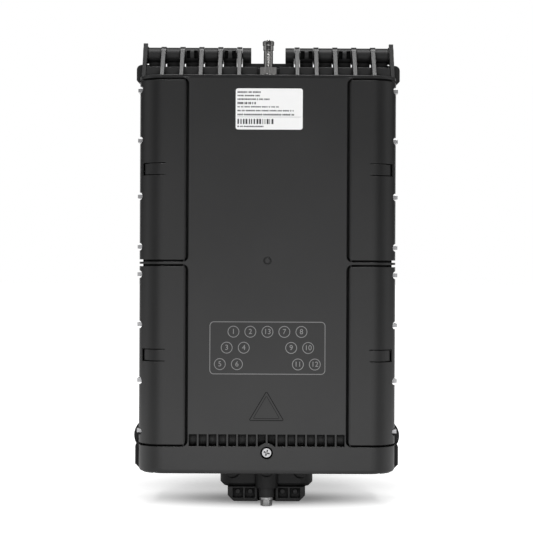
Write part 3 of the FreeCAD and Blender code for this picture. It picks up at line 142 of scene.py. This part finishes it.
def bump(tree, bsdf, value, strength, round_edge):
    """Fine relief over slightly rounded edges."""
    node = add(tree, "ShaderNodeBump", Strength=strength, Distance=RELIEF_HEIGHT)
    tree.links.new(value, node.inputs["Height"])
    if round_edge:
        edge = add(tree, "ShaderNodeBevel", Radius=round_edge)
        edge.samples = 4
        tree.links.new(edge.outputs["Normal"], node.inputs["Normal"])
    tree.links.new(node.outputs["Normal"], bsdf.inputs["Normal"])


def scaled(color, factor):
    """A colour made lighter or darker."""
    return tuple(channel * factor for channel in color)


def crevice(tree, reach, low):
    """Painted shade: 1 on open faces, falling to a low value in grooves, pockets and gaps where
    shade falls.
    """
    hidden = add(tree, "ShaderNodeAmbientOcclusion", Distance=reach)
    hidden.samples = 8
    return map_range(tree, hidden.outputs["AO"], 0.3, 0.78, low, 1.0).outputs["Result"]


def times(tree, color, factor):
    """A colour scaled by a value."""
    node = tree.nodes.new("ShaderNodeVectorMath")
    node.operation = "SCALE"
    tree.links.new(color, node.inputs[0])
    tree.links.new(factor, node.inputs["Scale"])
    return node.outputs["Vector"]


def combine(tree, operation, first, second):
    """One number from two, by a named operation."""
    node = tree.nodes.new("ShaderNodeMath")
    node.operation = operation
    tree.links.new(first, node.inputs[0])
    tree.links.new(second, node.inputs[1])
    return node.outputs[0]


def plastic(name, color, rough, grain=4000, relief=0.35, round_edge=0.0005, specular=0.5,
            reach=0.006, vary=0.1):
    """Moulded plastic with a fine spark-eroded grain, with painted shade darkening its grooves,
    and duller there.
    """
    material, tree, bsdf = shader(name)
    crevice_shade = crevice(tree, reach, GROOVE_SHADE)
    broad = object_noise(tree, TONE_SCALE, 4)
    tone = ramp(tree, broad, scaled(color, 1 - vary), scaled(color, 1 + vary))
    # Painted shade: the colour is darkened in grooves, pockets and gaps
    tree.links.new(times(tree, tone, crevice_shade), bsdf.inputs["Base Color"])
    bsdf.inputs["Specular IOR Level"].default_value = specular
    patches = spread(tree, object_noise(tree, PATCH_SCALE, 1),
                     rough - PATCH_SPREAD, rough + PATCH_SPREAD)
    dull = map_range(tree, crevice_shade, 0.1, 0.95, GROOVE_ROUGH, rough).outputs["Result"]
    tree.links.new(combine(tree, "MAXIMUM", patches, dull), bsdf.inputs["Roughness"])
    bump(tree, bsdf, object_noise(tree, grain, 2), relief, round_edge)
    return material


def metal(name, color, rough, stretch=(1, 1, 1), hollow_shade=0.4, reach=0.0015, relief=0.25):
    """Plated or drawn metal with faint streaks, and painted shade darkening its hollows."""
    material, tree, bsdf = shader(name)
    streaks = object_noise(tree, STREAK_SCALE, 3, stretch)
    tone = ramp(tree, streaks, scaled(color, STREAK_TONE), color)
    # Painted shade: the colour is darkened in hollows and gaps
    tree.links.new(times(tree, tone, crevice(tree, reach, hollow_shade)), bsdf.inputs["Base Color"])
    tree.links.new(spread(tree, streaks, rough - 0.06, rough + 0.08), bsdf.inputs["Roughness"])
    bsdf.inputs["Metallic"].default_value = 1.0
    bump(tree, bsdf, streaks, relief, METAL_EDGE)
    return material


def clear_plastic(name):
    """Clear sheet with a faint haze."""
    material, tree, bsdf = shader(name)
    haze = object_noise(tree, HAZE_SCALE, 2)
    tint = ramp(tree, haze, (0.82, 0.86, 0.88), (0.92, 0.94, 0.95))
    tree.links.new(tint, bsdf.inputs["Base Color"])
    tree.links.new(spread(tree, haze, 0.06, 0.14), bsdf.inputs["Roughness"])
    bsdf.inputs["Transmission Weight"].default_value = 1.0
    bsdf.inputs["IOR"].default_value = CLEAR_IOR
    return material


# Finishes by the record's material slots
LOOKS = {
    "cover_plastic": plastic("cover_plastic", (0.015, 0.015, 0.0153), 0.31),
    "latch_plastic": plastic("latch_plastic", (0.012, 0.012, 0.0122), 0.31),
    "housing_plastic": plastic("housing_plastic", (0.016, 0.016, 0.0163), 0.5, specular=0.3),
    "clamp_plastic": plastic("clamp_plastic", (0.023, 0.023, 0.0234), 0.5, specular=0.4),
    "socket_plastic": plastic("socket_plastic", (0.02, 0.02, 0.021), 0.4),
    "tray_plastic": plastic("tray_plastic", (0.62, 0.63, 0.64), 0.42, relief=0.12),
    "module_plastic": plastic("module_plastic", (0.42, 0.43, 0.45), 0.4, relief=0.12),
    "seal_rubber": plastic("seal_rubber", (0.012, 0.012, 0.012), 0.75, grain=900),
    "plug_rubber": plastic("plug_rubber", (0.03, 0.03, 0.031), 0.7, grain=900),
    "label_white": plastic("label_white", (0.97, 0.97, 0.97), 0.38, grain=2500, relief=0.04,
                           round_edge=0, vary=0.02),
    "lid_clear": clear_plastic("lid_clear"),
    "pin_steel": metal("pin_steel", (0.06, 0.06, 0.062), 0.4, (0.05, 1, 1)),
    "strip_steel": metal("strip_steel", (0.5, 0.5, 0.51), 0.34, (1, 1, 0.1)),
    "screw_steel": metal("screw_steel", (0.54, 0.54, 0.55), 0.3, hollow_shade=0.03, reach=0.003),
    "valve_nickel": metal("valve_nickel", (0.52, 0.51, 0.5), 0.1, (1, 1, 0.2), relief=0.04),
    "insert_brass": metal("insert_brass", (0.72, 0.52, 0.22), 0.3),
}
BOLT_ZINC = metal("bolt_zinc", (0.7, 0.7, 0.7), 0.34)
INK = plastic("label_ink", (0.035, 0.035, 0.04), 0.5, round_edge=0)
LEGEND = plastic("legend_ink", (0.29, 0.29, 0.29), 0.55, round_edge=0)
# Near-black painted shade for the grooves of the engraved triangle
ENGRAVED_SHADE = plastic("engraved_groove_shade", (0.006, 0.006, 0.006), 0.6, round_edge=0, specular=0.15)


def dress_solids():
    """Give every CAD node the finish of its slot, and the large bolt below a paler zinc."""
    for entry in frame["record"]["subparts"]:
        item = frame["nodes"][entry["node"]]
        item.data.materials.clear()
        item.data.materials.append(LOOKS[entry["material_slot"]])
    frame["nodes"]["entry_bolt"].data.materials[0] = BOLT_ZINC


# Print and fine trim, which the solids leave out


def piece(name, mesh, material, body):
    """Put a finished mesh in the scene and let it ride on a body."""
    item = bpy.data.objects.new(name, mesh)
    bpy.context.scene.collection.objects.link(item)
    mesh.materials.clear()
    mesh.materials.append(material)
    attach(item, body)


def mesh_from(name, build):
    """A mesh filled by a function that gets a bmesh, in millimetres."""
    shape = bmesh.new()
    build(shape)
    bmesh.ops.recalc_face_normals(shape, faces=shape.faces)
    bmesh.ops.scale(shape, vec=(MM, MM, MM), verts=shape.verts)
    mesh = bpy.data.meshes.new(name)
    shape.to_mesh(mesh)
    shape.free()
    return mesh


def slab(shape, x0, x1, z0, z1, y, thick):
    """A thin box that lies on the plane y and stands out to the front."""
    centre = Vector(((x0 + x1) / 2, y - thick / 2, (z0 + z1) / 2))
    size = Matrix.Diagonal((abs(x1 - x0), thick, abs(z1 - z0), 1))
    bmesh.ops.create_cube(shape, size=1.0, matrix=Matrix.Translation(centre) @ size)


def band(shape, outline, wide, y, thick):
    """A flat line of some width round a closed outline of (x, z) points."""
    count = len(outline)
    rows = []
    for index in range(count):
        here = Vector(outline[index])
        before = Vector(outline[index - 1])
        after = Vector(outline[(index + 1) % count])
        way = (after - before).normalized()
        normal = Vector((way.y, -way.x)) * wide / 2
        outer, inner = here + normal, here - normal
        rows.append([
            shape.verts.new((outer.x, y, outer.y)),
            shape.verts.new((inner.x, y, inner.y)),
            shape.verts.new((inner.x, y - thick, inner.y)),
            shape.verts.new((outer.x, y - thick, outer.y)),
        ])
    for index in range(count):
        near, far = rows[index], rows[(index + 1) % count]
        for corner in range(4):
            follower = (corner + 1) % 4
            shape.faces.new((near[corner], near[follower], far[follower], far[corner]))


def circle_points(x, z, radius, count=40):
    """Outline of a circle."""
    turn = 2 * math.pi / count
    return [(x + radius * math.cos(i * turn), z + radius * math.sin(i * turn))
            for i in range(count)]


def rounded_points(x0, x1, z0, z1, radius, steps=8):
    """Outline of a rectangle with round corners."""
    points = []
    corners = ((x1 - radius, z1 - radius, 0), (x0 + radius, z1 - radius, 90),
               (x0 + radius, z0 + radius, 180), (x1 - radius, z0 + radius, 270))
    for x, z, start in corners:
        for i in range(steps + 1):
            angle = math.radians(start + 90 * i / steps)
            points.append((x + radius * math.cos(angle), z + radius * math.sin(angle)))
    return points


INK_THICK = 0.03

# Label print in pixels of the photo: rows as (middle, length, height), then the rule and the bars
LABEL_LEFT = 236.4
LABEL_ROWS = (
    (92.2, 23, 1.6), (95.7, 22, 1.4), (99.3, 32, 1.5), (103.2, 19, 2.2),
    (106.9, 42, 1.3), (110.7, 56, 1.4), (114.7, 58, 1.6), (126.5, 26, 1.3),
)
WORD_SHORT, WORD_LONG, WORD_REST = 0.8, 1.5, 0.6
LETTER_GAP, WORD_GAP, LETTER_SHARE = 0.35, 1.2, 0.8
RULE_LEFT, RULE_RIGHT, RULE_LOW, RULE_HIGH = 236.2, 299.5, 117.1, 116.9
BARS_RIGHT, BARS_LOW, BARS_HIGH = 273.4, 124.1, 119.0
BAR_WIDTHS = (0.7, 1.2, 1.5, 1.9)
BAR_GAPS = (0.8, 1.0, 1.4)


def label_print():
    """Rows of short bars in place of lettering, one rule and one field of upright bars."""
    draw = random.Random(11)

    def mark(shape, left, right, low, high):
        slab(shape, photo_x(left), photo_x(right), low, high, LABEL_FACE, INK_THICK)

    def build(shape):
        for row, long, tall in LABEL_ROWS:
            z = photo_z(row)
            half = tall * PIXEL / 2
            x = LABEL_LEFT
            end = LABEL_LEFT + long
            while x < end - WORD_REST:
                word = min(draw.uniform(WORD_SHORT, WORD_LONG), end - x)
                mark(shape, x, x + word, z - half, z + half)
                x += word + (LETTER_GAP if draw.random() < LETTER_SHARE else WORD_GAP)
        mark(shape, RULE_LEFT, RULE_RIGHT, photo_z(RULE_LOW), photo_z(RULE_HIGH))
        x = LABEL_LEFT
        while x < BARS_RIGHT:
            wide = draw.choice(BAR_WIDTHS)
            mark(shape, x, x + wide, photo_z(BARS_LOW), photo_z(BARS_HIGH))
            x += wide + draw.choice(BAR_GAPS)

    piece("label_bars", mesh_from("label_bars", build), INK, "cover")


# Port plan in pixels of the photo: each number with the middle of its ring, then the frame
PORT_MARKS = (
    (1, 233.3, 331.8), (2, 250.2, 331.8), (13, 267.3, 331.8), (7, 284.2, 331.8), (8, 301.3, 331.8),
    (3, 226.6, 347.8), (4, 243.7, 347.8), (9, 291.1, 347.8), (10, 308.1, 347.8),
    (5, 219.8, 364.3), (6, 236.9, 364.3), (11, 297.9, 364.3), (12, 314.8, 364.3),
)
MARK_RADIUS = 5.5
PLAN_LEFT, PLAN_RIGHT, PLAN_LOW, PLAN_HIGH = 209.8, 324.9, 374.1, 322.0

# Line width, corner and numeral height of the port plan in millimetres
MARK_LINE = 0.55
PLAN_CORNER = 3.3
NUMBER_TALL = 6.2


def numeral_mesh(number):
    """Flat figures of a number, upright and about the origin, in metres."""
    name = f"numeral_{number:02d}"
    curve = bpy.data.curves.new(name, "FONT")
    curve.body = str(number)
    curve.size = NUMBER_TALL * MM
    curve.align_x = "CENTER"
    curve.align_y = "CENTER"
    curve.extrude = INK_THICK * MM / 2
    text = bpy.data.objects.new(f"{name}_text", curve)
    bpy.context.scene.collection.objects.link(text)
    bpy.context.view_layer.update()
    graph = bpy.context.evaluated_depsgraph_get()
    mesh = bpy.data.meshes.new_from_object(text.evaluated_get(graph))
    bpy.data.objects.remove(text)
    mesh.transform(Matrix.Rotation(math.radians(90), 4, "X"))
    return mesh


def port_legend():
    """Printed plan of the numbered ports: a frame, thirteen rings and their numbers."""
    def build(shape):
        plan = rounded_points(photo_x(PLAN_LEFT), photo_x(PLAN_RIGHT),
                              photo_z(PLAN_LOW), photo_z(PLAN_HIGH), PLAN_CORNER)
        band(shape, plan, MARK_LINE, FRONT, INK_THICK)
        for _, x, z in PORT_MARKS:
            ring = circle_points(photo_x(x), photo_z(z), MARK_RADIUS * PIXEL)
            band(shape, ring, MARK_LINE, FRONT, INK_THICK)

    piece("port_legend_lines", mesh_from("port_legend_lines", build), LEGEND,
          "cover")
    for number, x, z in PORT_MARKS:
        mesh = numeral_mesh(number)
        spot = Vector((photo_x(x), FRONT - INK_THICK / 2, photo_z(z))) * MM
        mesh.transform(Matrix.Translation(spot))
        piece(f"port_numeral_{number:02d}", mesh, LEGEND, "cover")


# Engraved triangle, its grooves drawn as near-black bands of painted shade: line widths in
# millimetres, with corners in pixels of the photo
TRIANGLES = (
    (0.65, ((266.6, 391.4), (249.3, 420.6), (283.9, 420.6))),
    (0.4, ((266.6, 395.9), (253.4, 418.6), (279.8, 418.6))),
)
ENGRAVED_THICK = 0.02
SIDE_STEPS = 12
CORNER_CUT = 0.03


def plate_mark():
    """Plain engraved triangle with a double line on the lower part of the plate, its grooves drawn
    as painted shade.
    """
    def build(shape):
        for wide, corners in TRIANGLES:
            points = []
            for index in range(3):
                here = Vector(corners[index])
                following = Vector(corners[(index + 1) % 3])
                for step in range(SIDE_STEPS):
                    part = CORNER_CUT + (1 - 2 * CORNER_CUT) * step / (SIDE_STEPS - 1)
                    x, row = here.lerp(following, part)
                    points.append((photo_x(x), photo_z(row)))
            band(shape, points, wide, FRONT, ENGRAVED_THICK)

    piece("plate_triangle", mesh_from("plate_triangle", build), ENGRAVED_SHADE, "cover")


def turned_ring(shape, profile, y, steps):
    """A closed ring about an upright axis, from the (radius, height) points of its section."""
    rings = []
    for radius, level in profile:
        ring = []
        for step in range(steps):
            angle = 2 * math.pi * step / steps
            across, along = radius * math.cos(angle), radius * math.sin(angle)
            ring.append(shape.verts.new((across, y + along, level)))
        rings.append(ring)
    for near, far in zip(rings, rings[1:] + rings[:1]):
        for step in range(steps):
            follower = (step + 1) % steps
            shape.faces.new((near[step], near[follower], far[follower], far[step]))


# Valve thread in millimetres: its ends, its pitch, its radii and the places of a crest's edges
THREAD_LOW, THREAD_HIGH = 173.0, 186.6
THREAD_PITCH = 0.8
THREAD_INNER, THREAD_ROOT, THREAD_CREST = 3.7, 3.9, 4.02
CREST_START, CREST_END, ROOT_START = 0.08, 0.64, 0.72
THREAD_STEPS = 96


def valve_thread():
    """Flat thread crests on the stem between the nut and the cap."""
    def build(shape):
        level = THREAD_LOW
        profile = [(THREAD_INNER, level)]
        while level < THREAD_HIGH:
            profile += [(THREAD_ROOT, level), (THREAD_CREST, level + CREST_START),
                        (THREAD_CREST, level + CREST_END), (THREAD_ROOT, level + ROOT_START)]
            level += THREAD_PITCH
        profile.append((THREAD_INNER, level - THREAD_PITCH + ROOT_START))
        turned_ring(shape, profile, VALVE_Y, THREAD_STEPS)

    piece("valve_thread", mesh_from("valve_thread", build), LOOKS["valve_nickel"],
          "cover")


# Grip ribs of the valve cap in millimetres: their circle, their middle height and their size
GRIP_COUNT = 24
GRIP_RADIUS = 4.8
GRIP_LEVEL = 193.35
GRIP_SIZE = (0.3, 0.6, 2.9)


def cap_grips():
    """Upright grip ribs round the valve cap."""
    def build(shape):
        size = Matrix.Diagonal((*GRIP_SIZE, 1))
        for index in range(GRIP_COUNT):
            angle = 2 * math.pi * index / GRIP_COUNT
            place = Matrix.Translation((GRIP_RADIUS * math.cos(angle),
                                        VALVE_Y + GRIP_RADIUS * math.sin(angle), GRIP_LEVEL))
            turn = Matrix.Rotation(angle, 4, "Z")
            bmesh.ops.create_cube(shape, size=1.0, matrix=place @ turn @ size)

    piece("cap_grips", mesh_from("cap_grips", build), LOOKS["valve_nickel"], "cap")


# Stage, in metres

# Ovals of painted shadow on the floor: middle in depth, half width, half depth and the tone in the
# middle
BROAD_SHADOW = (0.05, 0.27, 0.2, 0.4)
CLOSE_SHADOW = (-0.038, 0.16, 0.058, 0.2)
MIRRORED_SHADOW = (0, 0.4, 0.4, 0.05)

# Tones that shiny faces see, by direction from 0 to 1: in depth from front to back, or upwards
FRONT_TONES = ((0.01, 1.0), (0.07, 0.2), (0.13, 0.04))
ROUND_TONES = ((0.13, 0.04), (0.2, 0.2), (0.27, 0.36), (0.42, 0.6),
               (0.5, 0.45), (0.75, 0.1), (0.9, 0.05), (0.97, 1.0))
HORIZON_TONES = ((0.525, 1.0), (0.55, 0.35), (0.585, 0.05))

FLOOR_SIZE = 30
FLOOR_GAP = 0.0005
WORLD_FILL = 0.25
WHITE = (1, 1, 1, 1)


def oval_fade(tree, depth, wide, deep, low):
    """A low value in the middle of an oval on the floor, rising to 1 outside it."""
    coords = tree.nodes.new("ShaderNodeTexCoord")
    oval = add(tree, "ShaderNodeMapping", Location=(0, -depth / deep, 0),
               Scale=(1 / wide, 1 / deep, 1))
    distance = tree.nodes.new("ShaderNodeVectorMath")
    distance.operation = "LENGTH"
    tree.links.new(coords.outputs["Object"], oval.inputs["Vector"])
    tree.links.new(oval.outputs["Vector"], distance.inputs[0])
    fade = map_range(tree, distance.outputs["Value"], 0.1, 1.0, low, 1.0)
    fade.interpolation_type = "SMOOTHSTEP"
    return fade.outputs["Result"]


def whiten(tree):
    """Painted shadow: the floor's glow is low in two ovals under the object, darkening it there
    beside its real shadow, and full white further away.
    """
    broad = oval_fade(tree, *BROAD_SHADOW)
    close = oval_fade(tree, *CLOSE_SHADOW)
    return combine(tree, "MULTIPLY", broad, close)


def stops(tree, value, points):
    """Grey tones by a value, from (position, tone) points."""
    node = tree.nodes.new("ShaderNodeValToRGB")
    elements = node.color_ramp.elements
    elements[0].position, elements[1].position = points[0][0], points[-1][0]
    for position, _ in points[1:-1]:
        elements.new(position)
    for element, (_, tone) in zip(elements, points):
        element.color = (tone, tone, tone, 1)
    tree.links.new(value, node.inputs["Fac"])
    return node.outputs["Color"]


def direction(tree, vector, axis):
    """Where a direction points along an axis, from 0 to 1."""
    split = tree.nodes.new("ShaderNodeSeparateXYZ")
    tree.links.new(vector, split.inputs[0])
    return map_range(tree, split.outputs[axis], -1.0, 1.0, 0.0, 1.0).outputs["Result"]


def mirrored_room(tree):
    """What shiny faces reflect of the room: the front is bright below the horizon only."""
    coords = tree.nodes.new("ShaderNodeTexCoord")
    depth = direction(tree, coords.outputs["Generated"], "Y")
    height = direction(tree, coords.outputs["Generated"], "Z")
    ahead = combine(tree, "MULTIPLY", stops(tree, depth, FRONT_TONES),
                    stops(tree, height, HORIZON_TONES))
    return combine(tree, "MAXIMUM", stops(tree, depth, ROUND_TONES), ahead)


def floor_glow(tree):
    """White floor for the camera and through clear things; for glossy rays it glows with the
    room's tones, a painted reflection, and with painted shade it is darker close to the object."""
    path = tree.nodes.new("ShaderNodeLightPath")
    coords = tree.nodes.new("ShaderNodeTexCoord")
    unit = tree.nodes.new("ShaderNodeVectorMath")
    unit.operation = "NORMALIZE"
    tree.links.new(coords.outputs["Object"], unit.inputs[0])
    depth = direction(tree, unit.outputs["Vector"], "Y")
    tone = combine(tree, "MAXIMUM", stops(tree, depth, ROUND_TONES),
                   stops(tree, depth, FRONT_TONES))
    mirrored = combine(tree, "MULTIPLY", path.outputs["Is Glossy Ray"], tone)
    # Painted shade: the glow seen in reflections is darker in an oval close to the object
    mirrored = combine(tree, "MULTIPLY", mirrored, oval_fade(tree, *MIRRORED_SHADOW))
    seen = combine(tree, "MAXIMUM", path.outputs["Is Camera Ray"],
                   path.outputs["Is Transmission Ray"])
    return combine(tree, "MULTIPLY", whiten(tree), combine(tree, "MAXIMUM", seen, mirrored))


def see_through_from_below(tree, bsdf):
    """Hide the floor from a camera under it."""
    side = tree.nodes.new("ShaderNodeNewGeometry")
    clear = tree.nodes.new("ShaderNodeBsdfTransparent")
    mix = tree.nodes.new("ShaderNodeMixShader")
    tree.links.new(side.outputs["Backfacing"], mix.inputs[0])
    tree.links.new(bsdf.outputs[0], mix.inputs[1])
    tree.links.new(clear.outputs[0], mix.inputs[2])
    tree.links.new(mix.outputs[0], tree.nodes["Material Output"].inputs["Surface"])


def studio_floor():
    """White floor just under the object, with the object's shadow and a painted shadow under it.
    """
    lowest = CAD_BOX[0][2]
    bpy.ops.mesh.primitive_plane_add(size=FLOOR_SIZE, location=(0, 0, lowest - FLOOR_GAP))
    floor = bpy.context.object
    floor.name = "studio_floor"
    material, tree, bsdf = shader("studio_floor")
    tone = ramp(tree, object_noise(tree, 2, 1), (0.8, 0.8, 0.8), (0.82, 0.82, 0.82))
    tree.links.new(tone, bsdf.inputs["Base Color"])
    bsdf.inputs["Roughness"].default_value = 0.9
    bsdf.inputs["Specular IOR Level"].default_value = 0.0
    bsdf.inputs["Emission Color"].default_value = WHITE
    tree.links.new(floor_glow(tree), bsdf.inputs["Emission Strength"])
    see_through_from_below(tree, bsdf)
    floor.data.materials.append(material)


def studio_world():
    """White surroundings for the camera, the mirrored room for shiny faces and a soft fill."""
    world = bpy.data.worlds.new("studio")
    bpy.context.scene.world = world
    world.use_nodes = True
    tree = world.node_tree
    for node in list(tree.nodes):
        tree.nodes.remove(node)
    out = tree.nodes.new("ShaderNodeOutputWorld")
    path = tree.nodes.new("ShaderNodeLightPath")
    fill = add(tree, "ShaderNodeBackground", Color=WHITE, Strength=WORLD_FILL)
    room = add(tree, "ShaderNodeBackground", Strength=1.0)
    tree.links.new(mirrored_room(tree), room.inputs["Color"])
    seen = add(tree, "ShaderNodeBackground", Color=WHITE, Strength=1.0)
    shown = fill.outputs[0]
    layers = (("Is Glossy Ray", room), ("Is Transmission Ray", seen), ("Is Camera Ray", seen))
    for name, light in layers:
        mix = tree.nodes.new("ShaderNodeMixShader")
        tree.links.new(path.outputs[name], mix.inputs[0])
        tree.links.new(shown, mix.inputs[1])
        tree.links.new(light.outputs[0], mix.inputs[2])
        shown = mix.outputs[0]
    tree.links.new(shown, out.inputs["Surface"])


def area_light(name, place, target, wide, tall, power):
    """A rectangular lamp that faces a point."""
    data = bpy.data.lights.new(name, "AREA")
    data.shape = "RECTANGLE"
    data.size = wide
    data.size_y = tall
    data.energy = power
    item = bpy.data.objects.new(name, data)
    item.location = place
    item.rotation_euler = (Vector(target) - Vector(place)).to_track_quat("-Z", "Y").to_euler()
    bpy.context.scene.collection.objects.link(item)
    return item


def lights():
    """A lamp above, and one to each side of the camera that shiny faces don't mirror."""
    area_light("overhead", (0, -0.42, 1.4), (0, -0.08, 0), 0.8, 0.5, 15)
    for name, side, power in (("left", -1, 9.0), ("right", 1, 6.8)):
        lamp = area_light(name, (side * 0.9, -1.9, 0.45), (0, -0.1, 0), 1.2, 1.0, power)
        lamp.visible_glossy = False


# Camera: sensor and distance in millimetres, its place across and up, and its roll in degrees
SENSOR = 36
CAMERA_DISTANCE = 1200
CAMERA_X = -0.8
CAMERA_Z = 2.55
CAMERA_ROLL = -0.26


def camera():
    """Level camera in front, as in the photo."""
    data = bpy.data.cameras.new("camera")
    data.sensor_width = SENSOR
    data.lens = SENSOR * CAMERA_DISTANCE / (PHOTO_SIZE * PIXEL)
    item = bpy.data.objects.new("camera", data)
    item.location = (CAMERA_X * MM, (FRONT - CAMERA_DISTANCE) * MM, CAMERA_Z * MM)
    item.rotation_euler = (math.radians(90), math.radians(CAMERA_ROLL), 0)
    bpy.context.scene.collection.objects.link(item)
    bpy.context.scene.camera = item


def view_settings():
    """Plain colours, without a film look."""
    scene = bpy.context.scene
    scene.view_settings.view_transform = "Standard"
    scene.view_settings.look = "None"


dress_solids()
label_print()
port_legend()
plate_mark()
valve_thread()
cap_grips()
studio_floor()
studio_world()
lights()
camera()
view_settings()
